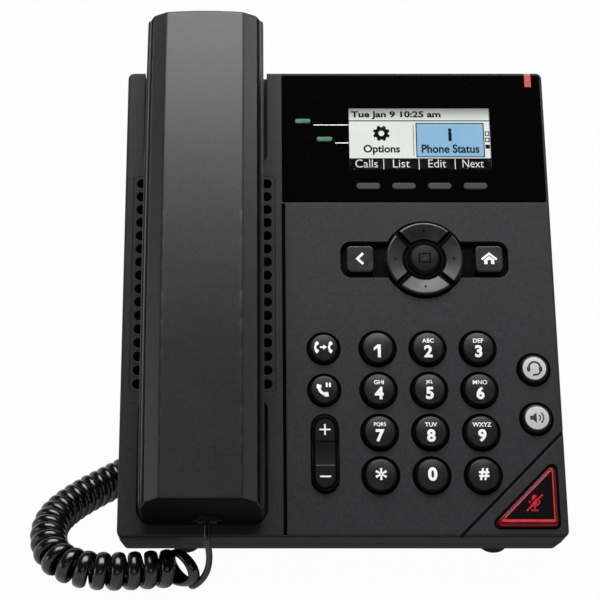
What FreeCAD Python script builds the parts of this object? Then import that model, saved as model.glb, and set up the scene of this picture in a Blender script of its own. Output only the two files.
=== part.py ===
import FreeCAD, Part
import math
import os

# Desk telephone with a lift-off handset on a curly cord. Sizes are in millimetres.
# Pieces are drawn in the face's own frame: x across, u up the face and n straight out of it, from the middle
# of the face's lower edge. At the end everything is tilted onto its desk stand and set down on z = 0.

V = FreeCAD.Vector

# Base unit
FACE_W = 170.0
FACE_L = 192.5
FACE_TILT = 40.0
FACE_T = 2.5
WALL = 2.2
CORNER_R = 2.5
RIM_R = 1.2
SPLIT_DEPTH = 14.0
FRONT_DEPTH = 24.0
BACK_DEPTH = 32.0
SIDE_TAPER = 1.2
FOOT_H = 3.0
FOOT_R = 5.5
FRONT_FOOT_X = 60.0
# Places across the face keep their share of its width
ACROSS = FACE_W / 170.0

# Clearances
SEAM = 0.1
KEY_GAP = 0.4
REST_GAP = 0.3

# Handset and the cups that it lies in
BAY_X = -53.0 * ACROSS
HANDSET_W = 47.0 * ACROSS
HANDSET_LOW_U = 5.8
HANDSET_TOP_U = 214.3
HANDSET_MID_U = 108.0
HANDSET_RISE = 31.0
ARCH_R = 698.0
SHELL_SPLIT = 12.0
SHELL_REVEAL = 0.8
COVER_W = HANDSET_W - 1.9
COVER_SIDE_LEAN = 1.75
COVER_FACET_W = 5.5
COVER_FLAT_W = COVER_W - 2 * (COVER_SIDE_LEAN + COVER_FACET_W)
COVER_FACET_DROP = 4.7
COVER_EDGE_R = 0.9
COVER_FLAT_R = 1.5
COVER_END_R = 0.8
END_LEAN = 1.0 / 6.0
TOP_LEAN = 1.0 / 4.0
TOP_BOW_R = 190.0
END_CORNER_R = 3.0
HANDSET_WALL = 2.0
POD_DEPTH = 5.7
LOWER_POD_U = 48.0
UPPER_POD_U = 156.5
GRIP_N = 13.8
RECEIVER_U = 182.0
MOUTH_U = 34.0
HANDSET_SCREWS = [66.0, 138.0]
CUP_GAP = 1.4
CUP_END_GAP = 1.2
CUP_DEPTH = POD_DEPTH + REST_GAP
CUP_FLOOR = 2.0
CUP_R = 6.0
CUP_INNER_R = 4.0
LOWER_CUP_TOP_U = 53.1
UPPER_CUP_LOW_U = 152.0

# Loudspeaker grille
GRILLE_COLS = 10
GRILLE_ROWS = 16
GRILLE_PITCH = 5.57
GRILLE_COL_PITCH = GRILLE_PITCH * ACROSS
GRILLE_HOLE_R = 1.95
GRILLE_U = 101.2
GRILLE_MARGIN = 3.2
GRILLE_FLANGE = 1.0
GRILLE_FLANGE_T = 1.2
GRILLE_SIDE_GAP = 0.235

# Display panel
BEZEL_X0 = -22.1 * ACROSS
BEZEL_X1 = FACE_W / 2 - 1.1
BEZEL_U0 = 134.9
BEZEL_TOP_RIM = 1.0
BEZEL_T = 1.6
BEZEL_FLOOR = 1.4
WINDOW_X = 33.95 * ACROSS
WINDOW_U = 162.9
WINDOW_W = 57.4 * ACROSS
WINDOW_H = 27.0
PANE_T = 0.8
LCD_W = WINDOW_W + 8.6
LCD_H = WINDOW_H + 9.0
LCD_T = 5.0
LIGHT_X = FACE_W / 2 - 5.95
LIGHT_W = 2.8
LIGHT_LOW_U = 185.9
LIGHT_WRAP = 6.0

# Keys
KEY_TRAVEL = 1.2
FLANGE = 0.9
FLANGE_T = 1.0
STEM_R = 1.8
STEM_DEPTH = 7.2
PAD_X = 34.12 * ACROSS
DIAL_PITCH_X = 19.45 * ACROSS
DIAL_PITCH_U = 16.75
DIAL_TOP_U = 73.7
DIAL_WELL_R = 7.0
DIAL_TOP_R = 5.75
DIAL_RISE = 2.2
DIAL_CROWN = 0.55
SIDE_X = -6.3 * ACROSS
SIDE_WELL_R = 6.3
SIDE_TOP_R = 5.1
RIGHT_X = FACE_W / 2 - 10.1
HEADSET_U = 65.2
SPEAKER_U = 45.5
SOFT_U = 141.9
SOFT_PITCH = 14.37 * ACROSS
SOFT_W = 10.4
SOFT_H = 3.6
LINE_W = 7.2
LINE_H = 2.9
LINE_KEYS = [(-13.5 * ACROSS, 170.5), (-4.7 * ACROSS, 162.5)]
VOLUME_U = 32.0
VOLUME_WELL_W = 10.9
VOLUME_WELL_L = 31.0
VOLUME_END_GAP = 0.8
VOLUME_RISE = 1.6
VOLUME_DIP = 0.4
VOLUME_DIP_R = 28.0
PIVOT_DEPTH = 4.6
PIVOT_R = 1.0
PIVOT_FIT = 0.06
NAV_U = 110.6
NAV_WELL_R = 16.2
WING_W = 66.5
WING_H = 15.2
WING_R = 4.4
INSERT_T = 1.5
SIDE_KEY_X = 25.5
SIDE_KEY_W = 11.7
SIDE_KEY_R = 2.0
PAD_OUT_R = 15.1
PAD_IN_R = 8.5
PAD_SPLIT = 2.6
SPOKE_W = 1.3
COLLAR_IN_R = 6.7
COLLAR_OUT_R = 7.9
SELECT_TOP_R = 5.2
SELECT_FLANGE = 0.5
MUTE_X1 = FACE_W / 2 - 3.8
MUTE_U0 = 3.7
MUTE_SIDE = 25.7
MUTE_WELL = [(MUTE_X1 - MUTE_SIDE, MUTE_U0), (MUTE_X1, MUTE_U0), (MUTE_X1, MUTE_U0 + MUTE_SIDE)]
MUTE_R = 1.5
MUTE_RIM_W = 0.4
MUTE_RIM_LOW_W = 1.0
GROOVE_X = -21.6 * ACROSS
GROOVE_W = 1.4
GROOVE_DEPTH = 1.5
DIAGONAL_X = MUTE_X1 - MUTE_SIDE - 11.2
DIAGONAL_W = 1.15

# Boards and parts inside
BOARD_DEPTH = 11.8
BOARD_T = 1.6
BOARD_EDGE_GAP = 2.3
BOARD_X0 = -19.5 * ACROSS
BOARD_U0 = 6.0
MAT_INSET = 1.0
MAT_TOP_U = 148.0
MAT_TAB_TOP_U = 178.0
MAT_TAB_X1 = 0.0
BOARD_POSTS = [
    (PAD_X - DIAL_PITCH_X / 2, DIAL_TOP_U - DIAL_PITCH_U / 2),
    (PAD_X + DIAL_PITCH_X / 2, DIAL_TOP_U - 2.5 * DIAL_PITCH_U),
    (-14.5 * ACROSS, 95.0),
    (76.0 * ACROSS, 126.0),
]
MAT_T = 1.2
BUMP_R = 2.6
SPEAKER_EDGE = 0.765
JACK_U = 48.0
JACK_H = 14.0
JACK_END = 8.5
NETWORK_X = [30.0 * ACROSS, 50.0 * ACROSS]
MODULAR_X = [10.0 * ACROSS, -8.0 * ACROSS]
POWER_X = 68.5 * ACROSS
SOCKET_DEPTH = 12.5
PLUG_W = 7.4
PLUG_H = 6.2
PLUG_TAIL = 3.0
SOCKET_FIT = 0.2
BOSS_LEFT_X = 11.0 - FACE_W / 2
BOSS_RIGHT_X = FACE_W / 2 - 9.0
BOSSES = [(BOSS_LEFT_X, 14.0), (BOSS_LEFT_X, 180.0), (BOSS_RIGHT_X, 33.0), (BOSS_RIGHT_X, 181.0)]
BOSS_R = 3.0
SCREW_R = 1.25
SCREW_HEAD_R = 2.6
SCREW_HEAD_H = 1.3
HOOK_U = 163.0
HOOK_W = 6.0
HOOK_L = 9.0
HOOK_LIFT = 5.0
MIC_X = 42.6 * ACROSS
MIC_DEPTH = FRONT_DEPTH - 5.5

# Desk stand
STAND_W = 104.0
STAND_FLANGE_U0 = 92.0
STAND_FLANGE_U1 = 126.0
STAND_T = 3.0
STAND_LEG_T = 4.0
STAND_REACH = 152.0
STAND_FOOT_X = 44.0
STAND_HOOK_X = 36.0
STAND_HOOK_W = 12.0

# Handset socket, plug and curly cord
HANDSET_JACK_X = 2.0
HANDSET_JACK_N = 4.2
CORD_D = 3.2
COIL_R = 5.45
COIL_TURNS = 44
COIL_OPEN = 1.3
COIL_OPEN_TURNS = 20.0
COIL_FIRST_TURN = [0.2, 0.3, 1.4, 2.2]
COIL_EASE = 1.4
COIL_EASE_OPEN = 2.2
COIL_STOPS = 52.0
# The lead from the handset plug down to the bottom of the first curl
CORD_LEAD = [
    (-49.6, -83.6, 17.6),
    (-49.6, -84.6, 11.0),
    (-52.0, -85.4, 5.2),
    (-56.2, -86.2, 1.9),
]
LEAD_MEETS = 3.0
# The curls' middle line from under the handset plug round to the base plug
CORD_ROUTE = [
    (-58.6, -81.6, 7.3),
    (-67.0, -82.0, 7.3),
    (-77.0, -82.8, 7.3),
    (-88.5, -83.4, 7.3),
    (-100.0, -82.0, 7.3),
    (-110.5, -76.0, 7.3),
    (-115.0, -64.0, 7.3),
    (-114.0, -51.5, 7.3),
    (-105.0, -39.5, 7.3),
    (-89.5, -26.5, 7.3),
    (-74.0, -13.0, 7.3),
    (-60.0, 2.0, 7.3),
    (-47.0, 17.0, 7.3),
    (-30.0, 30.0, 7.3),
    (-9.0, 36.0, 7.3),
    (10.0, 32.0, 7.3),
    (17.0, 16.0, 7.3),
    (12.0, -2.0, 8.0),
]

COS = math.cos(math.radians(FACE_TILT))
SIN = math.sin(math.radians(FACE_TILT))
FACE_LIFT = FOOT_H + FRONT_DEPTH * COS
BEZEL_U1 = FACE_L - BEZEL_TOP_RIM
PANEL_UNDER = BEZEL_T + BEZEL_FLOOR
INSERT_UNDER = FACE_T + INSERT_T
MAT_TOP = MAT_T - BOARD_DEPTH
BUMP_TOP = -STEM_DEPTH - KEY_TRAVEL - REST_GAP
GRILLE_W = (GRILLE_COLS - 1) * GRILLE_COL_PITCH + 2 * GRILLE_MARGIN
GRILLE_L = (GRILLE_ROWS - 1) * GRILLE_PITCH + 2 * GRILLE_MARGIN
GRILLE_X = GRILLE_SIDE_GAP + GRILLE_FLANGE + WALL + GRILLE_W / 2 - FACE_W / 2
SPEAKER_R = GRILLE_W / 2 - SPEAKER_EDGE


def block(x0, x1, u0, u1, n0, n1):
    return Part.makeBox(x1 - x0, u1 - u0, n1 - n0, V(x0, u0, n0))


def rod(x, u, r, n0, n1):
    return Part.makeCylinder(r, n1 - n0, V(x, u, n0))


def cross_rod(u, n, r, x0, x1):
    return Part.makeCylinder(r, x1 - x0, V(x0, u, n), V(1, 0, 0))


def plan(a, b):
    return V(a, b, 0)


def side(a, b):
    return V(0, a, b)


def end_on(a, b):
    return V(a, 0, b)


def rounded_wire(points, radii, lift):
    """Closed outline through flat points, each corner rounded by its own radius."""
    count = len(points)
    if not isinstance(radii, list):
        radii = [radii] * count
    corners = []
    for i in range(count):
        p = V(points[i][0], points[i][1], 0)
        back = V(points[i - 1][0], points[i - 1][1], 0) - p
        ahead = V(points[(i + 1) % count][0], points[(i + 1) % count][1], 0) - p
        back.normalize()
        ahead.normalize()
        r = radii[i]
        if r == 0:
            corners.append((p, None, p))
            continue
        half = back.getAngle(ahead) / 2
        cut = r / math.tan(half)
        middle = back + ahead
        middle.normalize()
        bend = p + middle * (r / math.sin(half) - r)
        corners.append((p + back * cut, bend, p + ahead * cut))
    edges = []
    for i in range(count):
        start, bend, end = corners[i]
        if bend is not None:
            edges.append(Part.Arc(lift(start.x, start.y), lift(bend.x, bend.y), lift(end.x, end.y)).toShape())
        following = corners[(i + 1) % count][0]
        if (following - end).Length > 1e-6:
            edges.append(Part.makeLine(lift(end.x, end.y), lift(following.x, following.y)))
    return Part.Wire(edges)


def slab(points, radii, n0, n1):
    face = Part.Face(rounded_wire(points, radii, plan))
    solid = face.extrude(V(0, 0, n1 - n0))
    solid.translate(V(0, 0, n0))
    return solid


def rectangle(x, u, w, h):
    return [(x - w / 2, u - h / 2), (x + w / 2, u - h / 2), (x + w / 2, u + h / 2), (x - w / 2, u + h / 2)]


def plate(x, u, w, h, r, n0, n1):
    """Plate with rounded corners around a middle point."""
    return slab(rectangle(x, u, w, h), min(r, min(w, h) / 2 - 0.01), n0, n1)


def grown(points, d):
    """Convex outline, run anticlockwise, with every side moved outwards by d."""
    out = []
    count = len(points)
    for i in range(count):
        p = V(points[i][0], points[i][1], 0)
        back = V(points[i - 1][0], points[i - 1][1], 0) - p
        ahead = V(points[(i + 1) % count][0], points[(i + 1) % count][1], 0) - p
        back.normalize()
        ahead.normalize()
        middle = back + ahead
        middle.normalize()
        q = p - middle * (d / math.sin(back.getAngle(ahead) / 2))
        out.append((q.x, q.y))
    return out


def spun(points, x, u):
    """Solid of revolution about the face's normal at (x, u), from (radius, n) points."""
    wire = Part.makePolygon([V(r, 0, n) for r, n in points + points[:1]])
    solid = Part.Face(wire).revolve(V(0, 0, 0), V(0, 0, 1), 360)
    solid.translate(V(x, u, 0))
    return solid


def side_profile(points, radii, x0, x1):
    """Solid with an outline in u and n, run across from x0 to x1."""
    face = Part.Face(rounded_wire(points, radii, side))
    solid = face.extrude(V(x1 - x0, 0, 0))
    solid.translate(V(x0, 0, 0))
    return solid


def edges_at(solid, n, tol=0.01):
    return [e for e in solid.Edges if abs(e.BoundBox.ZMin - n) < tol and abs(e.BoundBox.ZMax - n) < tol]


def softened(solid, n, r):
    """The solid with the edges at height n rounded."""
    return solid.makeFillet(r, edges_at(solid, n))


def joined(first, others):
    return first.fuse(others).removeSplitter()


def one_solid(shape):
    return max(shape.Solids, key=lambda s: s.Volume)


def from_desk(shape):
    """A shape drawn with y back from the face's lower edge and z up from the desk, in the face's frame."""
    moved = shape.copy()
    moved.translate(V(0, 0, -FACE_LIFT))
    moved.rotate(V(0, 0, 0), V(1, 0, 0), -FACE_TILT)
    return moved


def key_positions():
    """Each plain key's name, middle, and the depth of the panel's underside that holds it down."""
    dial = [["1", "2", "3"], ["4", "5", "6"], ["7", "8", "9"], ["star", "0", "pound"]]
    found = []
    for row in range(4):
        for col in range(3):
            x = PAD_X + (col - 1) * DIAL_PITCH_X
            u = DIAL_TOP_U - row * DIAL_PITCH_U
            found.append(("dial_key_" + dial[row][col], x, u, FACE_T))
    found.append(("transfer_key", SIDE_X, DIAL_TOP_U, FACE_T))
    found.append(("hold_key", SIDE_X, DIAL_TOP_U - DIAL_PITCH_U, FACE_T))
    found.append(("headset_key", RIGHT_X, HEADSET_U, FACE_T))
    found.append(("speaker_key", RIGHT_X, SPEAKER_U, FACE_T))
    for i in range(4):
        found.append(("soft_key_%d" % (i + 1), PAD_X + (i - 1.5) * SOFT_PITCH, SOFT_U, PANEL_UNDER))
    for i in range(2):
        found.append(("line_key_%d" % (i + 1), LINE_KEYS[i][0], LINE_KEYS[i][1], PANEL_UNDER))
    found.append(("back_key", PAD_X - SIDE_KEY_X, NAV_U, INSERT_UNDER))
    found.append(("home_key", PAD_X + SIDE_KEY_X, NAV_U, INSERT_UNDER))
    found.append(("select_key", PAD_X, NAV_U, INSERT_UNDER))
    return found


KEYS = key_positions()


def round_key(x, u, under, well_r, top_r, rise, crown, flange=FLANGE):
    """Domed round key held from below by a flange, with a stem down to the mat."""
    top = -under - REST_GAP
    low = top - FLANGE_T
    dome_r = (top_r * top_r + crown * crown) / (2 * crown)
    half_way = rise + crown - dome_r + math.sqrt(dome_r * dome_r - top_r * top_r / 4)
    edges = []
    points = [
        (0, -STEM_DEPTH),
        (STEM_R, -STEM_DEPTH),
        (STEM_R, low),
        (well_r + flange, low),
        (well_r + flange, top),
        (well_r - KEY_GAP, top),
        (well_r - KEY_GAP, 0.3),
        (top_r, rise),
    ]
    for a, b in zip(points, points[1:]):
        edges.append(Part.makeLine(V(a[0], 0, a[1]), V(b[0], 0, b[1])))
    edges.append(Part.Arc(V(top_r, 0, rise), V(top_r / 2, 0, half_way), V(0, 0, rise + crown)).toShape())
    edges.append(Part.makeLine(V(0, 0, rise + crown), V(0, 0, -STEM_DEPTH)))
    solid = Part.Face(Part.Wire(edges)).revolve(V(0, 0, 0), V(0, 0, 1), 360)
    solid = softened(solid, rise, 0.5)
    solid.translate(V(x, u, 0))
    return solid


def flat_key(x, u, under, w, h, r, rise, edge_r):
    """Key of a rounded rectangle outline, from its well's size."""
    top = -under - REST_GAP
    cap = plate(x, u, w - 2 * KEY_GAP, h - 2 * KEY_GAP, r, top, rise)
    cap = softened(cap, rise, edge_r)
    flange = plate(x, u, w + 2 * FLANGE, h + 2 * FLANGE, r + FLANGE, top - FLANGE_T, top)
    stem = rod(x, u, min(STEM_R, h / 2), -STEM_DEPTH, top - FLANGE_T)
    return joined(cap, [flange, stem])


def plain_keys():
    made = {}
    for name, x, u, under in KEYS:
        if name.startswith("dial_key"):
            made[name] = round_key(x, u, under, DIAL_WELL_R, DIAL_TOP_R, DIAL_RISE, DIAL_CROWN)
        elif name.startswith("soft_key"):
            made[name] = flat_key(x, u, under, SOFT_W, SOFT_H, SOFT_H / 2, 0.7, 0.35)
        elif name.startswith("line_key"):
            made[name] = flat_key(x, u, under, LINE_W, LINE_H, LINE_H / 2, 0.5, 0.25)
        elif name in ("back_key", "home_key"):
            made[name] = flat_key(x, u, under, SIDE_KEY_W, SIDE_KEY_W, SIDE_KEY_R, 1.2, 0.6)
        elif name == "select_key":
            made[name] = round_key(x, u, under, COLLAR_IN_R, SELECT_TOP_R, 2.0, 0.3, SELECT_FLANGE)
        else:
            made[name] = round_key(x, u, under, SIDE_WELL_R, SIDE_TOP_R, 1.9, 0.4)
    return made


def wing_outline(extra, n0, n1):
    """The recess around the arrow pads, its back key and its home key."""
    wing = plate(PAD_X, NAV_U, WING_W + 2 * extra, WING_H + 2 * extra, WING_R + extra, n0, n1)
    return joined(wing, [rod(PAD_X, NAV_U, NAV_WELL_R + extra, n0, n1)])


def diagonal_bars(width, n0, n1, reach):
    bars = []
    for angle in (45, 135):
        bar = block(-reach, reach, -width / 2, width / 2, n0, n1)
        bar.rotate(V(0, 0, 0), V(0, 0, 1), angle)
        bar.translate(V(PAD_X, NAV_U, 0))
        bars.append(bar)
    return bars


def ring(x, u, r_in, r_out, n0, n1):
    return rod(x, u, r_out, n0, n1).cut(rod(x, u, r_in, n0, n1))


def arrow_insert():
    """Black insert under the face: floor of the recess, collar of the select key and four spokes."""
    low = -INSERT_UNDER
    floor = wing_outline(1.4, low, -FACE_T)
    opening = ring(PAD_X, NAV_U, COLLAR_IN_R, PAD_OUT_R + KEY_GAP, low, -FACE_T)
    wells = [plate(PAD_X + s * SIDE_KEY_X, NAV_U, SIDE_KEY_W, SIDE_KEY_W, SIDE_KEY_R, low, 0) for s in (-1, 1)]
    floor = floor.cut(wells + [opening, rod(PAD_X, NAV_U, COLLAR_IN_R, low, 0)])
    collar = ring(PAD_X, NAV_U, COLLAR_IN_R, COLLAR_OUT_R, low, 0.2)
    spokes = diagonal_bars(SPOKE_W, low, -0.2, PAD_OUT_R + 1)
    spokes = [s.cut(rod(PAD_X, NAV_U, COLLAR_OUT_R - 0.3, low, 0)) for s in spokes]
    return joined(floor, [collar] + spokes)


def arrow_pads():
    """Four dished pads around the select key."""
    top = -INSERT_UNDER - REST_GAP
    dish = spun(
        [
            (PAD_IN_R, top - FLANGE_T),
            (PAD_OUT_R + FLANGE, top - FLANGE_T),
            (PAD_OUT_R + FLANGE, top),
            (PAD_OUT_R, top),
            (PAD_OUT_R, 1.3),
            (PAD_OUT_R - 0.25, 1.75),
            (PAD_OUT_R - 0.8, 1.95),
            (PAD_IN_R + 0.35, 0.75),
            (PAD_IN_R, 0.45),
        ],
        PAD_X,
        NAV_U,
    )
    pads = dish.cut(diagonal_bars(PAD_SPLIT, top - FLANGE_T - 1, 4, PAD_OUT_R + 4))
    made = {}
    for pad in pads.Solids:
        dx = pad.CenterOfMass.x - PAD_X
        du = pad.CenterOfMass.y - NAV_U
        if abs(dx) > abs(du):
            name = "arrow_right" if dx > 0 else "arrow_left"
        else:
            name = "arrow_up" if du > 0 else "arrow_down"
        angle = math.atan2(du, dx)
        middle = (PAD_IN_R + PAD_OUT_R) / 2
        stem = rod(PAD_X + middle * math.cos(angle), NAV_U + middle * math.sin(angle), STEM_R, -STEM_DEPTH, top)
        made[name] = joined(pad, [stem])
    return made


def volume_rocker():
    """Rocker that tips about two short pins under the face."""
    w = VOLUME_WELL_W - 2 * KEY_GAP
    length = VOLUME_WELL_L - 2 * VOLUME_END_GAP
    body = plate(SIDE_X, VOLUME_U, w, length, w / 2, -PIVOT_DEPTH - PIVOT_R, VOLUME_RISE)
    body = softened(body, VOLUME_RISE, 0.6)
    hollow_n = VOLUME_RISE - VOLUME_DIP + VOLUME_DIP_R
    body = body.cut(cross_rod(VOLUME_U, hollow_n, VOLUME_DIP_R, SIDE_X - w, SIDE_X + w))
    reach = w / 2 + 2.6
    pins = cross_rod(VOLUME_U, -PIVOT_DEPTH, PIVOT_R, SIDE_X - reach, SIDE_X + reach)
    stems = [rod(SIDE_X, VOLUME_U + s * 9.5, STEM_R, -STEM_DEPTH, -PIVOT_DEPTH) for s in (-1, 1)]
    return joined(body, [pins] + stems)


def pivot_lugs():
    lugs = []
    w = VOLUME_WELL_W / 2
    for s in (-1, 1):
        x0 = min(SIDE_X + s * (w + 0.2), SIDE_X + s * (w + 2.0))
        low = -PIVOT_DEPTH - PIVOT_R - 1.2
        lug = block(x0, x0 + 1.8, VOLUME_U - 2.4, VOLUME_U + 2.4, low, -FACE_T)
        lugs.append(lug.cut(cross_rod(VOLUME_U, -PIVOT_DEPTH, PIVOT_R + PIVOT_FIT, x0 - 1, x0 + 3)))
    return lugs


def mute_pieces():
    """Triangular key: a lit rim around a black cap."""
    top = -FACE_T - REST_GAP
    rim = slab(grown(MUTE_WELL, -KEY_GAP), MUTE_R, top, 1.2)
    rim = softened(rim, 1.2, 0.4)
    flange = slab(grown(MUTE_WELL, FLANGE / 2), MUTE_R, top - FLANGE_T, top)
    rim = joined(rim, [flange])
    seat = grown(MUTE_WELL, -KEY_GAP - MUTE_RIM_W)
    raised = MUTE_RIM_LOW_W - MUTE_RIM_W
    seat[0] = (seat[0][0] + raised, seat[0][1] + raised)
    seat[1] = (seat[1][0], seat[1][1] + raised)
    rim = rim.cut(slab(seat, MUTE_R, top - FLANGE_T - 1, 3))
    cap = slab(grown(seat, -SEAM), MUTE_R, top - FLANGE_T, 1.7)
    cap = softened(cap, 1.7, 0.5)
    x = (MUTE_WELL[0][0] + MUTE_WELL[1][0] + MUTE_WELL[2][0]) / 3
    u = (MUTE_WELL[0][1] + MUTE_WELL[1][1] + MUTE_WELL[2][1]) / 3
    cap = joined(cap, [rod(x, u, STEM_R, -STEM_DEPTH, top)])
    return cap, rim


def cup_w():
    return HANDSET_W + 2 * CUP_GAP


def front_housing():
    w = FACE_W / 2
    outer = slab(rectangle(0, FACE_L / 2, FACE_W, FACE_L), CORNER_R, -SPLIT_DEPTH, 0)
    outer = softened(outer, 0, RIM_R)
    inside = slab(
        rectangle(0, FACE_L / 2, FACE_W - 2 * WALL, FACE_L - 2 * WALL), 1.0, -SPLIT_DEPTH - 1, -FACE_T
    )
    shell = outer.cut(inside)

    # Material under the cups, the display panel and around the screws
    cup_low = -CUP_DEPTH - CUP_FLOOR
    cup_u0 = HANDSET_LOW_U - CUP_END_GAP
    lower_mid = (cup_u0 + LOWER_CUP_TOP_U) / 2
    lower_len = LOWER_CUP_TOP_U - cup_u0
    upper_mid = (UPPER_CUP_LOW_U + FACE_L) / 2
    upper_len = FACE_L - UPPER_CUP_LOW_U
    extra = 2 * CUP_FLOOR
    added = [
        plate(BAY_X, lower_mid, cup_w() + extra, lower_len + extra, CUP_R + CUP_FLOOR, cup_low, -FACE_T),
        block(BAY_X - cup_w() / 2 - CUP_FLOOR, BAY_X + cup_w() / 2 + CUP_FLOOR,
              UPPER_CUP_LOW_U - CUP_FLOOR, FACE_L - WALL / 2, cup_low, -FACE_T),
        block(BEZEL_X0, BEZEL_X1 - 1.5, BEZEL_U0, FACE_L - WALL / 2, -PANEL_UNDER, -FACE_T),
    ]
    for x, u in BOSSES:
        added.append(rod(x, u, BOSS_R, -BACK_DEPTH + WALL, -FACE_T))
    for x, u in BOARD_POSTS:
        added.append(rod(x, u, 2.0, -BOARD_DEPTH, -FACE_T))
    shell = joined(shell, added + pivot_lugs())

    # Cups, openings, wells and grooves
    cuts = [
        slab(rectangle(BAY_X, lower_mid, cup_w(), lower_len),
             [CUP_R, CUP_R, CUP_INNER_R, CUP_INNER_R], -CUP_DEPTH, 1),
        plate(BAY_X, upper_mid + 10, cup_w(), upper_len + 20, CUP_INNER_R, -CUP_DEPTH, 1),
        plate(GRILLE_X, GRILLE_U, GRILLE_W + 2 * SEAM, GRILLE_L + 2 * SEAM, 2.0, -FACE_T - 1, 1),
        slab(rectangle((BEZEL_X0 + BEZEL_X1) / 2, (BEZEL_U0 + BEZEL_U1) / 2,
                       BEZEL_X1 - BEZEL_X0, BEZEL_U1 - BEZEL_U0), 0.8, -BEZEL_T, 1),
        plate(WINDOW_X, WINDOW_U, WINDOW_W + 4, WINDOW_H + 4, 1.0, -PANEL_UNDER - 1, 0),
        plate(BAY_X, HOOK_U, HOOK_W + 2 * REST_GAP, HOOK_L + 2 * REST_GAP, 1.2, cup_low - 1, 0),
        plate(SIDE_X, VOLUME_U, VOLUME_WELL_W, VOLUME_WELL_L, VOLUME_WELL_W / 2, -FACE_T - 1, 1),
        wing_outline(0, -FACE_T - 1, 1),
        slab(MUTE_WELL, MUTE_R, -FACE_T - 1, 1),
        block(GROOVE_X - GROOVE_W / 2, GROOVE_X + GROOVE_W / 2, 0.7, BEZEL_U0 - 0.4, -GROOVE_DEPTH, 1),
        block(LIGHT_X - LIGHT_W / 2, LIGHT_X + LIGHT_W / 2, BEZEL_U1 - 1, FACE_L + 1, -BEZEL_T, 1),
        block(LIGHT_X - LIGHT_W / 2, LIGHT_X + LIGHT_W / 2, FACE_L - BEZEL_T, FACE_L + 1, -LIGHT_WRAP, 1),
    ]
    reach = (w - DIAGONAL_X) * math.sqrt(2)
    diagonal = block(-3, reach + 3, -DIAGONAL_W / 2, DIAGONAL_W / 2, -GROOVE_DEPTH, 1)
    diagonal.rotate(V(0, 0, 0), V(0, 0, 1), 45)
    diagonal.translate(V(DIAGONAL_X, 0, 0))
    cuts.append(diagonal)
    for name, x, u, under in KEYS:
        if name.startswith("dial_key"):
            cuts.append(rod(x, u, DIAL_WELL_R, -FACE_T - 1, 1))
            cuts.append(Part.makeCone(DIAL_WELL_R, DIAL_WELL_R + 0.5, 0.5, V(x, u, -0.5)))
        elif name.startswith("soft_key"):
            cuts.append(plate(x, u, SOFT_W, SOFT_H, SOFT_H / 2, -PANEL_UNDER - 1, 1))
        elif name.startswith("line_key"):
            cuts.append(plate(x, u, LINE_W, LINE_H, LINE_H / 2, -PANEL_UNDER - 1, 1))
        elif under == FACE_T:
            cuts.append(rod(x, u, SIDE_WELL_R, -FACE_T - 1, 1))
            cuts.append(Part.makeCone(SIDE_WELL_R, SIDE_WELL_R + 0.4, 0.4, V(x, u, -0.4)))
    for x, u in BOSSES:
        cuts.append(rod(x, u, SCREW_R, -BACK_DEPTH, -FACE_T - 7))
    return one_solid(shell.cut(cuts))


def tapered_block(inset, n_top, n_low, floor_n):
    """The rear housing's tapering block, inset from its outer faces."""
    half = FACE_W / 2
    drop = BACK_DEPTH - SPLIT_DEPTH
    wires = []
    for n in (n_top, n_low):
        pull = SIDE_TAPER * (-n - SPLIT_DEPTH) / drop
        x = half - inset - pull
        top = FACE_L - inset - pull
        wire = rounded_wire([(-x, inset), (x, inset), (x, top), (-x, top)], max(CORNER_R - inset, 0.6), plan)
        wire.translate(V(0, 0, n))
        wires.append(wire)
    body = Part.makeLoft(wires, True, True)
    under = from_desk(Part.makeBox(400, 400, 100, V(-200, -100, floor_n - 100)))
    return body.cut(under)


def jack_cells():
    """Middle, left side and right side of each jack in the row across the back."""
    row = sorted(MODULAR_X + NETWORK_X + [POWER_X])
    sides = [row[0] - JACK_END]
    sides += [(a + b) / 2 for a, b in zip(row, row[1:])]
    sides.append(row[-1] + JACK_END)
    return list(zip(row, sides, sides[1:]))


def rear_housing():
    outer = tapered_block(0, -SPLIT_DEPTH, -BACK_DEPTH, FOOT_H)
    inside = tapered_block(WALL, -SPLIT_DEPTH, -BACK_DEPTH + WALL, FOOT_H + WALL)
    shell = outer.cut(inside)
    low = -BACK_DEPTH
    cuts = []
    cells = jack_cells()
    half = JACK_H / 2 + SEAM
    cuts.append(block(cells[0][1] - SEAM, cells[-1][2] + SEAM, JACK_U - half, JACK_U + half, low - 1, low + WALL + 1))
    for x, u in BOSSES:
        cuts.append(rod(x, u, SCREW_R + 0.2, low - 1, low + WALL + 1))
        cuts.append(rod(x, u, SCREW_HEAD_R + 0.3, low - 1, low + SCREW_HEAD_H))
    for i in range(11):
        cuts.append(plate(-10.0 + 6.0 * i, 156.0, 2.2, 34.0, 1.1, low - 1, low + WALL + 1))
    for s in (-1, 1):
        slot_u = STAND_FLANGE_U1 - 9
        cuts.append(plate(s * STAND_HOOK_X, slot_u, STAND_HOOK_W + 0.6, 3.6, 0.3, low - 1, low + WALL + 1))
    cuts.append(Part.makeCylinder(0.8, 3 * WALL, V(MIC_X, -WALL, -MIC_DEPTH), V(0, 1, 0)))
    return one_solid(shell.cut(cuts))


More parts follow.
